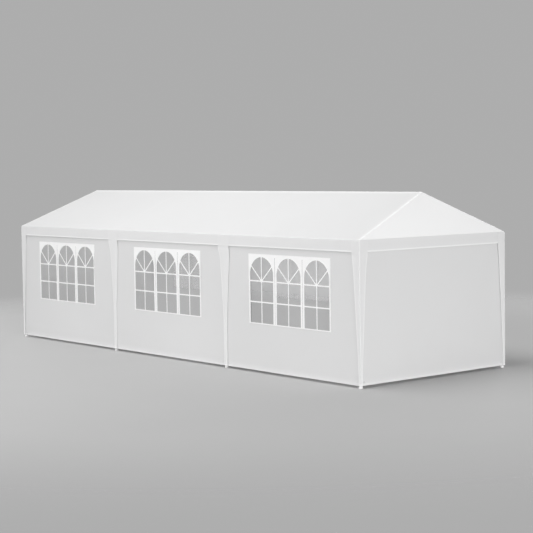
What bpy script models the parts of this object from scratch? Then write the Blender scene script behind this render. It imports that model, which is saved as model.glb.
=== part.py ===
# Marquee party tent, 9 m by 3 m: a steel tube frame under a white sheet cover
# with a hanging valance, tapered leg drapes and eight side walls, six of them
# with a window of three arched lights. Metres, +Z up. The origin is on the
# ground under the middle of the tent, +X runs along its length and -Y faces
# the long side that is seen first.

import math

import bmesh
import bpy
from mathutils import Matrix, Vector

# Main sizes of the tent, measured over the cover
LENGTH = 9.0
WIDTH = 3.0
EAVE_HEIGHT = 2.045
RIDGE_HEIGHT = 2.672
RIDGE_INSET = 0.261
BAYS = 3

# Fabric. The real sheet is about 0.2 mm thick, and is stood for by one of 3 mm
SHEET = 0.003
SEAT = 0.0003
VALANCE_DEPTH = 0.17

# Leg drapes, which narrow in a slow curve from the valance down to the foot.
# A waist holds the heights on the way down, each with the width there
DRAPE_BOTTOM = 0.036
CORNER_DRAPE_TOP = 0.158
CORNER_DRAPE_WAIST = ((1.62, 0.128), (0.80, 0.078), (0.30, 0.048))
CORNER_DRAPE_END = 0.040
MIDDLE_DRAPE_TOP = 0.270
MIDDLE_DRAPE_WAIST = ((1.70, 0.228), (1.33, 0.162), (0.75, 0.082))
MIDDLE_DRAPE_END = 0.074

# Side walls, which hang a little behind the cover
WALL_RECESS = 0.015
WALL_BOTTOM = 0.034
WALL_TOP = 2.020

# Window: three arched lights in one film sheet, centred on its wall
WINDOW_WIDTH = 1.81
WINDOW_BOTTOM = 0.735
WINDOW_TOP = 1.775
LIGHTS = 3
LIGHT_WIDTH = 0.530
LIGHT_PITCH = 0.610
LIGHT_BOTTOM = 0.750
LIGHT_TOP = 1.729
ARCH_SEGMENTS = 16

# Frame of round steel tube with sleeved corner and ridge fittings
LEG_RADIUS = 0.016
RAIL_RADIUS = 0.014
SLEEVE_RADIUS = 0.019
SOCKET_RADIUS = 0.018
SLEEVE_LENGTH = 0.14
LEG_SOCKET = 0.09
RAFTER_SOCKET = 0.10
FOOT_RADIUS = 0.030
FOOT_SHOULDER = 0.026
FOOT_HEIGHT = 0.030
TUBE_SIDES = 16
SMOOTH_ANGLE = math.radians(40)

# Places worked out from the sizes above
BAY = LENGTH / BAYS
HALF_LENGTH = LENGTH / 2
HALF_WIDTH = WIDTH / 2
RIDGE_END = HALF_LENGTH - RIDGE_INSET
ROOF_RISE = RIDGE_HEIGHT - EAVE_HEIGHT
SLOPE_ANGLE = math.atan2(ROOF_RISE, HALF_WIDTH)
GABLE_LEAN = math.atan2(RIDGE_INSET, ROOF_RISE)
VALANCE_TOP = EAVE_HEIGHT - SHEET * math.cos(SLOPE_ANGLE) - SEAT
VALANCE_BOTTOM = EAVE_HEIGHT - VALANCE_DEPTH
WALL_INNER = WALL_RECESS + SHEET
FRAME_INSET = WALL_INNER + SEAT + SLEEVE_RADIUS
FRAME_X = HALF_LENGTH - FRAME_INSET
FRAME_Y = HALF_WIDTH - FRAME_INSET
FRAME_DEPTH = SHEET + SEAT + SLEEVE_RADIUS
SLOPE_DROP = FRAME_DEPTH / math.cos(SLOPE_ANGLE)
RAIL_Z = EAVE_HEIGHT + FRAME_INSET * math.tan(SLOPE_ANGLE) - SLOPE_DROP
RIDGE_Z = RIDGE_HEIGHT - SLOPE_DROP
RIDGE_X = (
    HALF_LENGTH
    - FRAME_DEPTH / math.cos(GABLE_LEAN)
    - (RIDGE_Z - EAVE_HEIGHT) * math.tan(GABLE_LEAN)
)
MIDDLE_X = BAY / 2
FRAME_STATIONS = (-FRAME_X, -MIDDLE_X, MIDDLE_X, FRAME_X)
RIDGE_STATIONS = (-RIDGE_X, -MIDDLE_X, MIDDLE_X, RIDGE_X)

FRONT = -1
BACK = 1
LEFT = -1
RIGHT = 1
SIDE_NAMES = {FRONT: "front", BACK: "back"}
END_NAMES = {LEFT: "left", RIGHT: "right"}
BAY_NAMES = ("left", "middle", "right")


# Scene and materials

def clear_scene():
    for thing in list(bpy.data.objects):
        bpy.data.objects.remove(thing, do_unlink=True)


def new_collection(name):
    group = bpy.data.collections.new(name)
    bpy.context.scene.collection.children.link(group)
    return group


def new_material(name, colour, roughness, metallic=0.0, alpha=1.0):
    material = bpy.data.materials.new(name)
    material.use_nodes = True
    shader = material.node_tree.nodes["Principled BSDF"]
    shader.inputs["Base Color"].default_value = (*colour, 1.0)
    shader.inputs["Roughness"].default_value = roughness
    shader.inputs["Metallic"].default_value = metallic
    shader.inputs["Alpha"].default_value = alpha
    material.diffuse_color = (*colour, alpha)
    return material


clear_scene()
TENT = new_collection("marquee_tent")

ROOF_FABRIC = new_material("roof_fabric", (0.88, 0.88, 0.88), 0.55)
VALANCE_FABRIC = new_material("valance_fabric", (0.82, 0.82, 0.82), 0.55)
DRAPE_FABRIC = new_material("drape_fabric", (0.80, 0.80, 0.80), 0.55)
WALL_FABRIC = new_material("wall_fabric", (0.72, 0.72, 0.72), 0.6)
WINDOW_FILM = new_material("window_film", (0.50, 0.51, 0.52), 0.2, alpha=0.6)
FRAME_PAINT = new_material("frame_paint", (0.80, 0.80, 0.80), 0.35)


# Shared ways to make a shape

def add_mesh_object(name, mesh, material):
    piece = bpy.data.objects.new(name, mesh)
    piece.data.materials.append(material)
    TENT.objects.link(piece)
    return piece


def slab(name, low, high, material):
    """A plain box from its lowest to its highest corner."""
    size = Vector(high) - Vector(low)
    middle = (Vector(high) + Vector(low)) / 2
    shape = bmesh.new()
    bmesh.ops.create_cube(shape, size=1.0, matrix=Matrix.Diagonal((*size, 1.0)))
    mesh = bpy.data.meshes.new(name)
    shape.to_mesh(mesh)
    shape.free()
    piece = add_mesh_object(name, mesh, material)
    piece.location = middle
    return piece


def cut_sheet(name, outlines, place, material):
    """A flat sheet of fabric cut to an outline, with holes, standing at place.

    The outlines are in the sheet's own plane and the sheet's middle plane lies
    at place. Every outline after the first is a hole.
    """
    curve = bpy.data.curves.new(name, "CURVE")
    curve.dimensions = "2D"
    curve.fill_mode = "BOTH"
    curve.extrude = SHEET / 2
    for outline in outlines:
        spline = curve.splines.new("POLY")
        spline.points.add(len(outline) - 1)
        for point, (across, up) in zip(spline.points, outline):
            point.co = (across, up, 0.0, 1.0)
        spline.use_cyclic_u = True
    curve.materials.append(material)
    piece = bpy.data.objects.new(name, curve)
    TENT.objects.link(piece)
    piece.matrix_world = place
    return piece


def sheet_place(origin, across, up):
    """The placing of a sheet whose outer face holds the origin point."""
    across = Vector(across).normalized()
    up = Vector(up).normalized()
    outward = across.cross(up)
    middle = Vector(origin) - outward * SHEET / 2
    return Matrix((
        (across.x, up.x, outward.x, middle.x),
        (across.y, up.y, outward.y, middle.y),
        (across.z, up.z, outward.z, middle.z),
        (0.0, 0.0, 0.0, 1.0),
    ))


def rod(name, start, end, radius, material):
    """A straight round tube, closed by its fittings and so made solid."""
    start = Vector(start)
    run = Vector(end) - start
    turn = run.to_track_quat("Z", "Y").to_matrix().to_4x4()
    shape = bmesh.new()
    bmesh.ops.create_cone(
        shape,
        cap_ends=True,
        segments=TUBE_SIDES,
        radius1=radius,
        radius2=radius,
        depth=run.length,
        matrix=Matrix.Translation(start + run / 2) @ turn,
    )
    mesh = bpy.data.meshes.new(name)
    shape.to_mesh(mesh)
    shape.free()
    mesh.shade_smooth()
    mesh.set_sharp_from_angle(angle=SMOOTH_ANGLE)
    return add_mesh_object(name, mesh, material)


def fuse(name, pieces, material):
    """Joins overlapping pieces into one closed body and removes them."""
    base = pieces[0]
    for tool in pieces[1:]:
        join = base.modifiers.new("join", "BOOLEAN")
        join.operation = "UNION"
        join.solver = "EXACT"
        join.object = tool
    bpy.context.view_layer.update()
    graph = bpy.context.evaluated_depsgraph_get()
    mesh = bpy.data.meshes.new_from_object(base.evaluated_get(graph))
    mesh.name = name
    mesh.materials.clear()
    for piece in pieces:
        bpy.data.objects.remove(piece, do_unlink=True)
    return add_mesh_object(name, mesh, material)


# Roof cover: two slopes, two leaning gables and a valance on all four sides

def seam_allowance(outward, neighbour):
    """How far a sheet stops short of the edge it shares with its neighbour.

    Both sheets have their thickness on the inside, so cut square they would
    run into each other where they meet.
    """
    half_turn = outward.angle(neighbour) / 2
    return SHEET * math.tan(half_turn) + SEAT / math.cos(half_turn)


def inset_outline(outline, margins):
    """Moves each edge of a convex outline inwards by its own margin."""
    count = len(outline)
    lines = []
    for index, margin in enumerate(margins):
        start = Vector(outline[index])
        run = (Vector(outline[(index + 1) % count]) - start).normalized()
        inward = Vector((-run.y, run.x))
        lines.append((start + inward * margin, run))
    corners = []
    for index in range(count):
        point, run = lines[index - 1]
        other, other_run = lines[index]
        along = (other - point).cross(other_run) / run.cross(other_run)
        corners.append(point + run * along)
    return corners


def slope_normal(side):
    return Vector((0.0, side * math.sin(SLOPE_ANGLE), math.cos(SLOPE_ANGLE)))


def gable_normal(end):
    return Vector((end * math.cos(GABLE_LEAN), 0.0, math.sin(GABLE_LEAN)))


RAKE_MARGIN = seam_allowance(slope_normal(FRONT), gable_normal(RIGHT))
RIDGE_MARGIN = seam_allowance(slope_normal(FRONT), slope_normal(BACK))


def roof_slope(side):
    reach = math.hypot(HALF_WIDTH, ROOF_RISE)
    outline = inset_outline(
        ((-HALF_LENGTH, 0.0), (HALF_LENGTH, 0.0), (RIDGE_END, reach), (-RIDGE_END, reach)),
        (0.0, RAKE_MARGIN, RIDGE_MARGIN, RAKE_MARGIN),
    )
    eave = (0.0, side * HALF_WIDTH, EAVE_HEIGHT)
    place = sheet_place(eave, (-side, 0.0, 0.0), (0.0, -side * HALF_WIDTH, ROOF_RISE))
    cut_sheet("roof_slope_" + SIDE_NAMES[side], [outline], place, ROOF_FABRIC)


def gable(end):
    reach = math.hypot(RIDGE_INSET, ROOF_RISE)
    outline = inset_outline(
        ((-HALF_WIDTH, 0.0), (HALF_WIDTH, 0.0), (0.0, reach)),
        (0.0, RAKE_MARGIN, RAKE_MARGIN),
    )
    eave = (end * HALF_LENGTH, 0.0, EAVE_HEIGHT)
    place = sheet_place(eave, (0.0, end, 0.0), (-end * RIDGE_INSET, 0.0, ROOF_RISE))
    cut_sheet("gable_" + END_NAMES[end], [outline], place, ROOF_FABRIC)


def long_valance(side):
    faces = sorted((side * HALF_WIDTH, side * (HALF_WIDTH - SHEET)))
    slab(
        "valance_" + SIDE_NAMES[side],
        (-HALF_LENGTH, faces[0], VALANCE_BOTTOM),
        (HALF_LENGTH, faces[1], VALANCE_TOP),
        VALANCE_FABRIC,
    )


def end_valance(end):
    faces = sorted((end * HALF_LENGTH, end * (HALF_LENGTH - SHEET)))
    reach = HALF_WIDTH - SHEET - SEAT
    slab(
        "valance_" + END_NAMES[end],
        (faces[0], -reach, VALANCE_BOTTOM),
        (faces[1], reach, VALANCE_TOP),
        VALANCE_FABRIC,
    )


# Leg drapes: folded round each corner, flat over each middle leg

def drape_cut(top, waist, end):
    """Heights and widths of a drape, from the valance down to its lower edge."""
    return [(VALANCE_BOTTOM - SEAT, top), *waist, (DRAPE_BOTTOM, end)]


def corner_drape(side, end):
    corner = Vector((end * HALF_LENGTH, side * HALF_WIDTH, 0.0))
    shape = bmesh.new()
    rows = []
    for height, arm in drape_cut(CORNER_DRAPE_TOP, CORNER_DRAPE_WAIST, CORNER_DRAPE_END):
        lift = Vector((0.0, 0.0, height))
        long_side = shape.verts.new(corner + lift - Vector((end * arm, 0.0, 0.0)))
        fold = shape.verts.new(corner + lift)
        short_side = shape.verts.new(corner + lift - Vector((0.0, side * arm, 0.0)))
        rows.append([
            shape.edges.new((long_side, fold)),
            shape.edges.new((fold, short_side)),
        ])
    for upper, lower in zip(rows, rows[1:]):
        bmesh.ops.bridge_loops(shape, edges=upper + lower)
    shape.normal_update()
    inward = [face for face in shape.faces if face.normal.dot(corner) < 0]
    bmesh.ops.reverse_faces(shape, faces=inward)
    name = "corner_drape_" + SIDE_NAMES[side] + "_" + END_NAMES[end]
    mesh = bpy.data.meshes.new(name)
    shape.to_mesh(mesh)
    shape.free()
    piece = add_mesh_object(name, mesh, DRAPE_FABRIC)
    thicken = piece.modifiers.new("sheet", "SOLIDIFY")
    thicken.thickness = SHEET
    thicken.offset = -1.0
    thicken.use_even_offset = True


def middle_drape(side, end):
    cut = drape_cut(MIDDLE_DRAPE_TOP, MIDDLE_DRAPE_WAIST, MIDDLE_DRAPE_END)
    outline = [(width / 2, height) for height, width in reversed(cut)]
    outline += [(-width / 2, height) for height, width in cut]
    foot = (end * MIDDLE_X, side * HALF_WIDTH, 0.0)
    place = sheet_place(foot, (-side, 0.0, 0.0), (0.0, 0.0, 1.0))
    name = "middle_drape_" + SIDE_NAMES[side] + "_" + END_NAMES[end]
    cut_sheet(name, [outline], place, DRAPE_FABRIC)


# Side walls and their windows

def light_outline(middle):
    """One arched light: a rectangle under a half circle, clockwise."""
    radius = LIGHT_WIDTH / 2
    spring = LIGHT_TOP - radius
    points = [(middle + radius, LIGHT_BOTTOM), (middle - radius, LIGHT_BOTTOM)]
    for step in range(ARCH_SEGMENTS + 1):
        turn = math.pi * (1 - step / ARCH_SEGMENTS)
        points.append((middle + radius * math.cos(turn), spring + radius * math.sin(turn)))
    return points


def long_wall(side, bay):
    """One bay of side wall. The end bays run on to the tent's corners."""
    middle = (bay - (BAYS - 1) / 2) * BAY
    low = middle - BAY / 2 + SEAT
    high = middle + BAY / 2 - SEAT
    if bay == 0:
        low = -HALF_LENGTH + WALL_RECESS
    if bay == BAYS - 1:
        high = HALF_LENGTH - WALL_RECESS
    turn = -side
    left, right = sorted((turn * (low - middle), turn * (high - middle)))
    outlines = [((left, WALL_BOTTOM), (right, WALL_BOTTOM), (right, WALL_TOP), (left, WALL_TOP))]
    for light in range(LIGHTS):
        outlines.append(light_outline((light - (LIGHTS - 1) / 2) * LIGHT_PITCH))
    foot = (middle, side * (HALF_WIDTH - WALL_RECESS), 0.0)
    place = sheet_place(foot, (turn, 0.0, 0.0), (0.0, 0.0, 1.0))
    name = "wall_" + SIDE_NAMES[side] + "_" + BAY_NAMES[bay]
    cut_sheet(name, outlines, place, WALL_FABRIC)


def window_film(side, bay):
    middle = (bay - (BAYS - 1) / 2) * BAY
    face = HALF_WIDTH - WALL_INNER - SEAT
    faces = sorted((side * face, side * (face - SHEET)))
    slab(
        "window_" + SIDE_NAMES[side] + "_" + BAY_NAMES[bay],
        (middle - WINDOW_WIDTH / 2, faces[0], WINDOW_BOTTOM),
        (middle + WINDOW_WIDTH / 2, faces[1], WINDOW_TOP),
        WINDOW_FILM,
    )


def end_wall(end):
    faces = sorted((end * (HALF_LENGTH - WALL_RECESS), end * (HALF_LENGTH - WALL_INNER)))
    reach = HALF_WIDTH - WALL_INNER - SEAT
    slab(
        "wall_" + END_NAMES[end],
        (faces[0], -reach, WALL_BOTTOM),
        (faces[1], reach, WALL_TOP),
        WALL_FABRIC,
    )


# Steel frame: legs with feet, eave rails, end rails, ridge rail and rafters

def leg(side, station):
    """A leg with its foot, turned as one profile round the leg's axis."""
    top = RAIL_Z - LEG_SOCKET - SEAT
    profile = (
        (0.0, top),
        (LEG_RADIUS, top),
        (LEG_RADIUS, FOOT_HEIGHT),
        (FOOT_SHOULDER, FOOT_HEIGHT),
        (FOOT_RADIUS, FOOT_HEIGHT / 2),
        (FOOT_RADIUS, 0.0),
        (0.0, 0.0),
    )
    shape = bmesh.new()
    points = [shape.verts.new((across, 0.0, height)) for across, height in profile]
    for upper, lower in zip(points, points[1:]):
        shape.edges.new((upper, lower))
    name = "leg_" + SIDE_NAMES[side] + "_" + str(station + 1)
    mesh = bpy.data.meshes.new(name)
    shape.to_mesh(mesh)
    shape.free()
    piece = add_mesh_object(name, mesh, FRAME_PAINT)
    piece.location = (FRAME_STATIONS[station], side * FRAME_Y, 0.0)
    turned = piece.modifiers.new("turned", "SCREW")
    turned.steps = TUBE_SIDES
    turned.render_steps = TUBE_SIDES
    turned.use_merge_vertices = True
    turned.merge_threshold = 0.0001
    turned.use_smooth_shade = False


def eave_point(side, station):
    return Vector((FRAME_STATIONS[station], side * FRAME_Y, RAIL_Z))


def ridge_point(station):
    return Vector((RIDGE_STATIONS[station], 0.0, RIDGE_Z))


def toward(start, end, distance):
    return start + (end - start).normalized() * distance


def sleeve(centre, low_limit, high_limit):
    """The fitting's sleeve round a rail, cut short at the rail's own ends."""
    start = Vector((max(centre.x - SLEEVE_LENGTH / 2, low_limit), centre.y, centre.z))
    end = Vector((min(centre.x + SLEEVE_LENGTH / 2, high_limit), centre.y, centre.z))
    return rod("sleeve", start, end, SLEEVE_RADIUS, FRAME_PAINT)


def eave_rail(side):
    """Three tubes in line, joined by the four fittings that take the legs."""
    reach = FRAME_X + SLEEVE_RADIUS
    pieces = [rod(
        "rail",
        (-FRAME_X, side * FRAME_Y, RAIL_Z),
        (FRAME_X, side * FRAME_Y, RAIL_Z),
        RAIL_RADIUS,
        FRAME_PAINT,
    )]
    for station in range(len(FRAME_STATIONS)):
        centre = eave_point(side, station)
        foot = centre - Vector((0.0, 0.0, LEG_SOCKET))
        peak = ridge_point(station)
        pieces.append(sleeve(centre, -reach, reach))
        pieces.append(rod("socket", centre, foot, SOCKET_RADIUS, FRAME_PAINT))
        rafter_socket_end = toward(centre, peak, RAFTER_SOCKET)
        pieces.append(rod("socket", centre, rafter_socket_end, SOCKET_RADIUS, FRAME_PAINT))
        if station in (0, len(FRAME_STATIONS) - 1):
            inner = centre - Vector((0.0, side * RAFTER_SOCKET, 0.0))
            pieces.append(rod("socket", centre, inner, SOCKET_RADIUS, FRAME_PAINT))
    fuse("eave_rail_" + SIDE_NAMES[side], pieces, FRAME_PAINT)


def ridge_rail():
    pieces = [rod("rail", ridge_point(0), ridge_point(-1), RAIL_RADIUS, FRAME_PAINT)]
    for station in range(len(RIDGE_STATIONS)):
        centre = ridge_point(station)
        pieces.append(sleeve(centre, -RIDGE_X, RIDGE_X))
        for side in (FRONT, BACK):
            outer = toward(centre, eave_point(side, station), RAFTER_SOCKET)
            pieces.append(rod("socket", centre, outer, SOCKET_RADIUS, FRAME_PAINT))
    fuse("ridge_rail", pieces, FRAME_PAINT)


def rafter(side, station):
    low = eave_point(side, station)
    high = ridge_point(station)
    free_end = RAFTER_SOCKET + SEAT
    name = "rafter_" + SIDE_NAMES[side] + "_" + str(station + 1)
    rod(name, toward(low, high, free_end), toward(high, low, free_end), RAIL_RADIUS, FRAME_PAINT)


def end_rail(end):
    reach = FRAME_Y - RAFTER_SOCKET - SEAT
    place = end * FRAME_X
    rod(
        "end_rail_" + END_NAMES[end],
        (place, -reach, RAIL_Z),
        (place, reach, RAIL_Z),
        RAIL_RADIUS,
        FRAME_PAINT,
    )


# The whole tent

for tent_side in (FRONT, BACK):
    roof_slope(tent_side)
    long_valance(tent_side)
    eave_rail(tent_side)
    for bay_number in range(BAYS):
        long_wall(tent_side, bay_number)
        window_film(tent_side, bay_number)
    for station_number in range(len(FRAME_STATIONS)):
        leg(tent_side, station_number)
        rafter(tent_side, station_number)
    for tent_end in (LEFT, RIGHT):
        corner_drape(tent_side, tent_end)
        middle_drape(tent_side, tent_end)

for tent_end in (LEFT, RIGHT):
    gable(tent_end)
    end_valance(tent_end)
    end_wall(tent_end)
    end_rail(tent_end)

ridge_rail()
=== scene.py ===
# %% [markdown]
# # A party tent, dressed from its frame
#
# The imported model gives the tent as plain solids: tubes, flat sheets of cloth and flat window films.
# This lesson keeps the steel tubes as they are and sews everything else anew: one roof cover, eight leg drapes,
# eight side walls, six printed windows, and the stitches, eyelets and straps that hold them. Lengths are in metres,
# X runs along the long side, -Y looks out of the front and Z is up.

# %% Load the frame
import math

import bmesh
import bpy
import numpy as np
from mathutils import Matrix, Vector, geometry


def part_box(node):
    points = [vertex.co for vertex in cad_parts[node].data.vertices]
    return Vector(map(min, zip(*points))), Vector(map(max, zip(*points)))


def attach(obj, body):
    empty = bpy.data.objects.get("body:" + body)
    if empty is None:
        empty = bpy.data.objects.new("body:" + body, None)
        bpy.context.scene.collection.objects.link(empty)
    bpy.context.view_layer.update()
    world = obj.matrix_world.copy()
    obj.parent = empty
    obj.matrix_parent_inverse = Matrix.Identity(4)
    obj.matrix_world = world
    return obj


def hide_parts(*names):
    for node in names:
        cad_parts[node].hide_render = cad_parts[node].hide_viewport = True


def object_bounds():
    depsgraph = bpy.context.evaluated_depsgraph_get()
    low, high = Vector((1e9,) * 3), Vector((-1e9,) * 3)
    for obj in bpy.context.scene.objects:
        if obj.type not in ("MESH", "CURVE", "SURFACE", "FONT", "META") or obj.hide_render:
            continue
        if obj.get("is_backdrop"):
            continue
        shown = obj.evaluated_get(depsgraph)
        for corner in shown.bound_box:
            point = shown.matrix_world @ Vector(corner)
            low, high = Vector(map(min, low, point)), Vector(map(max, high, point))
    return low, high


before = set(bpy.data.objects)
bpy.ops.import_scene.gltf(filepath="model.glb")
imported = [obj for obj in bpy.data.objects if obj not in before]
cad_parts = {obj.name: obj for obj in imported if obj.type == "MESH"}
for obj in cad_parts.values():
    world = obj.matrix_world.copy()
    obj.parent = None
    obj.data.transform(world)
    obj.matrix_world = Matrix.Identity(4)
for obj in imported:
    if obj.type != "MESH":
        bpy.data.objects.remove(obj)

cad_low, cad_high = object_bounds()
print("solids:", len(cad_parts), "box:", [round(v, 3) for v in (*cad_low, *cad_high)])

# %% [markdown]
# ## Measures taken from the solids
#
# A sail maker measures the frame before cutting. The boxes of the solids give the valance, the wall plane and the
# window patch, so each new sheet hangs in the place of the solid that it stands for. The eave, the ridge and the leg
# lines are given as numbers.

# %% Take the measures
HALF_LENGTH = cad_high.x
HALF_WIDTH = cad_high.y
EAVE_HEIGHT = 2.045
RIDGE_HEIGHT = 2.672
RIDGE_HALF_LENGTH = 4.239
VALANCE_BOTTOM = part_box("valance_front")[0].z
WALL_FACE_Y = -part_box("wall_front_middle")[0].y
WALL_FACE_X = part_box("wall_right")[1].x
WALL_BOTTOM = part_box("wall_front_middle")[0].z
WALL_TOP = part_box("wall_front_middle")[1].z
DRAPE_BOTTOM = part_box("middle_drape_front_right")[0].z
PATCH_LOW, PATCH_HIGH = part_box("window_front_middle")
MIDDLE_LEG_X = 1.5
LEG_LINE_X = 4.4627
LEG_LINE_Y = 1.4627
FRONT, BACK = -1, 1
LEFT, RIGHT = -1, 1
SIDE_NAMES = {FRONT: "front", BACK: "back"}
END_NAMES = {LEFT: "left", RIGHT: "right"}
BAYS = {"left": -3.0, "middle": 0.0, "right": 3.0}
print("wall from", round(WALL_BOTTOM, 3), "to", round(WALL_TOP, 3), "valance from", round(VALANCE_BOTTOM, 3))

# %% [markdown]
# ## The camera
#
# The photograph was taken with a long lens from a little above head height, so the upright lines stay upright.
# The lens, the place and the small tilt come from matching twelve corners of the tent.

# %% Set up the camera
CAMERA_PLACE = Vector((18.658, -14.981, 3.04))
CAMERA_TURN = math.radians(50.12)
CAMERA_PITCH = math.radians(-3.92)
CAMERA_ROLL = math.radians(-0.81)
ahead = Vector((
    -math.sin(CAMERA_TURN) * math.cos(CAMERA_PITCH),
    math.cos(CAMERA_TURN) * math.cos(CAMERA_PITCH),
    math.sin(CAMERA_PITCH),
))
level_right = ahead.cross(Vector((0, 0, 1))).normalized()
level_up = level_right.cross(ahead)
right = math.cos(CAMERA_ROLL) * level_right + math.sin(CAMERA_ROLL) * level_up
up = math.cos(CAMERA_ROLL) * level_up - math.sin(CAMERA_ROLL) * level_right
lens = bpy.data.cameras.new("long_lens")
lens.sensor_width = 36.0
lens.lens = 96.94
lens.clip_end = 400.0
camera = bpy.data.objects.new("long_lens", lens)
bpy.context.scene.collection.objects.link(camera)
camera.matrix_world = Matrix.Translation(CAMERA_PLACE) @ Matrix((right, up, -ahead)).transposed().to_4x4()
bpy.context.scene.camera = camera
print("camera looks along", [round(v, 3) for v in ahead])

# %% [markdown]
# ## A bench for node trees
#
# Every finish below is a small sum, such as "the weave, fainter where the cloth is double". Written as nodes and links
# that sum is hard to read, so one class wraps a socket and takes the usual signs: a + b, 1 - mask, 0.3 * noise. Plain
# values go through Math nodes, and colours and vectors through Vector Math, which keeps their three channels. The
# bench has one method for every other node: its type, its settings, then what goes into its sockets.

# %% Wires that do sums
class Wire:
    """One output of a node. A sum on it adds the node that works it out."""

    def __init__(self, bench, socket):
        self.bench = bench
        self.socket = socket

    def output(self, name):
        return Wire(self.bench, self.socket.node.outputs[name])

    def _sum(self, operation, other, turned=False):
        pair = [other, self] if turned else [self, other]
        wide = any(isinstance(p, Wire) and p.socket.type in ("VECTOR", "RGBA") for p in pair)
        if wide:
            pair = [p if isinstance(p, Wire) or hasattr(p, "__len__") else (p, p, p) for p in pair]
        kind = "ShaderNodeVectorMath" if wide else "ShaderNodeMath"
        return self.bench.make(kind, {"operation": operation}, {0: pair[0], 1: pair[1]})

    def __add__(self, other):
        return self._sum("ADD", other)

    def __radd__(self, other):
        return self._sum("ADD", other, True)

    def __sub__(self, other):
        return self._sum("SUBTRACT", other)

    def __rsub__(self, other):
        return self._sum("SUBTRACT", other, True)

    def __mul__(self, other):
        return self._sum("MULTIPLY", other)

    def __rmul__(self, other):
        return self._sum("MULTIPLY", other, True)

    def __truediv__(self, other):
        return self._sum("DIVIDE", other)

    def __rtruediv__(self, other):
        return self._sum("DIVIDE", other, True)

    def __pow__(self, other):
        return self._sum("POWER", other)


# %% The bench
class Bench:
    """A node tree being built, for a finish or for a row of small parts."""

    def __init__(self, tree):
        self.tree = tree
        self.tree.nodes.clear()

    def make(self, kind, settings=None, inputs=None):
        node = self.tree.nodes.new(kind)
        for name, value in (settings or {}).items():
            if name == "stops":
                self._set_stops(node.color_ramp, value)
            else:
                setattr(node, name, value)
        for key, value in (inputs or {}).items():
            socket = node.inputs[key] if isinstance(key, int) else self._open_socket(node, key)
            if isinstance(value, Wire):
                self.tree.links.new(value.socket, socket)
            elif socket.type == "RGBA" and hasattr(value, "__len__") and len(value) == 3:
                socket.default_value = (*value, 1.0)
            elif socket.type == "RGBA" and not hasattr(value, "__len__"):
                socket.default_value = (value, value, value, 1.0)
            else:
                socket.default_value = value
        shown = [s for s in node.outputs if s.enabled]
        return Wire(self, shown[0]) if shown else None

    def _open_socket(self, node, name):
        return next(s for s in node.inputs if s.name == name and s.enabled)

    def _set_stops(self, ramp, stops):
        while len(ramp.elements) > 1:
            ramp.elements.remove(ramp.elements[-1])
        for number, (place, grey) in enumerate(stops):
            stop = ramp.elements[0] if number == 0 else ramp.elements.new(place)
            stop.position = place
            stop.color = (grey, grey, grey, 1.0)


def new_finish(name):
    """A fresh material and its bench."""
    material = bpy.data.materials.new(name)
    material.use_nodes = True
    return material, Bench(material.node_tree)


# %% [markdown]
# ## White coated sheet
#
# The cover is woven from flat plastic tapes about two and a half millimetres wide, then coated on both sides. Close
# up it has a checked weave, from afar it is a satin white with a faint cloudiness, and it lets some daylight through.
# Where a hem or a seam lays the cloth double it is a little whiter, because less light gets lost through it.
# Each sheet carries its flat cut as a UV map in metres, so the tapes run with the cloth, and an attribute that says
# where it is folded over. On the walls the same attribute also holds a painted lighter band on single cloth just
# above the bottom hem: painted light thrown up from the floor. A Translucent shader is mixed in for the light that
# comes through.

# %% Mix the coated sheet
TAPE_WIDTH = 0.0026


def coated_sheet(name, whiteness, daylight):
    """Woven coated sheet of one shade. daylight is the share of light that a single layer lets through."""
    material, bench = new_finish(name)
    place = bench.make("ShaderNodeTexCoord").output("Object")
    cut = bench.make("ShaderNodeUVMap", {"uv_map": "cut"})
    double = bench.make("ShaderNodeAttribute", {"attribute_name": "double"}).output("Fac")
    across = bench.make("ShaderNodeSeparateXYZ", None, {0: cut})
    warp = bench.make("ShaderNodeMath", {"operation": "SINE"}, {0: across * (2 * math.pi / TAPE_WIDTH)})
    weft = bench.make("ShaderNodeMath", {"operation": "SINE"}, {0: across.output("Y") * (2 * math.pi / TAPE_WIDTH)})
    weave = warp * weft
    clouds = bench.make("ShaderNodeTexNoise", None, {"Vector": place, "Scale": 1.6, "Detail": 4.0, "Roughness": 0.6})
    specks = bench.make("ShaderNodeTexNoise", None, {"Vector": place, "Scale": 55.0, "Detail": 3.0})
    creases = bench.make(
        "ShaderNodeTexNoise", None, {"Vector": place, "Scale": 5.5, "Detail": 3.0, "Distortion": 0.6}
    )
    # The fold attribute makes the cloth whiter and less see-through. On the walls it also paints a lighter band above
    # the bottom hem, which stands for light from the floor.
    shade = whiteness * (0.985 + 0.022 * clouds + 0.008 * specks + 0.13 * double)
    colour = bench.make("ShaderNodeCombineColor", None, {0: shade, 1: shade, 2: shade * 1.002})
    soft = bench.make("ShaderNodeBump", None, {"Strength": 0.30, "Distance": 0.004, "Height": creases})
    relief = bench.make(
        "ShaderNodeBump", None, {"Strength": 0.25, "Distance": 0.0002, "Height": weave, "Normal": soft}
    )
    cloth = bench.make("ShaderNodeBsdfPrincipled", None, {
        "Base Color": colour,
        "Roughness": 0.46 + 0.10 * specks,
        "Specular IOR Level": 0.32,
        "Normal": relief,
    })
    through = bench.make("ShaderNodeBsdfTranslucent", None, {"Color": (0.93, 0.93, 0.93)})
    share = daylight * (1.0 - 0.45 * double)
    sheet = bench.make("ShaderNodeMixShader", None, {0: share, 1: cloth, 2: through})
    bench.make("ShaderNodeOutputMaterial", None, {"Surface": sheet})
    return material


ROOF_SHEET = coated_sheet("white_roof_sheet", 0.775, daylight=0.18)
DRAPE_SHEET = coated_sheet("white_drape_sheet", 0.79, daylight=0.18)
WALL_SHEET = coated_sheet("white_wall_sheet", 0.70, daylight=0.14)
print("sheets:", ROOF_SHEET.name, DRAPE_SHEET.name, WALL_SHEET.name)
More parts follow.
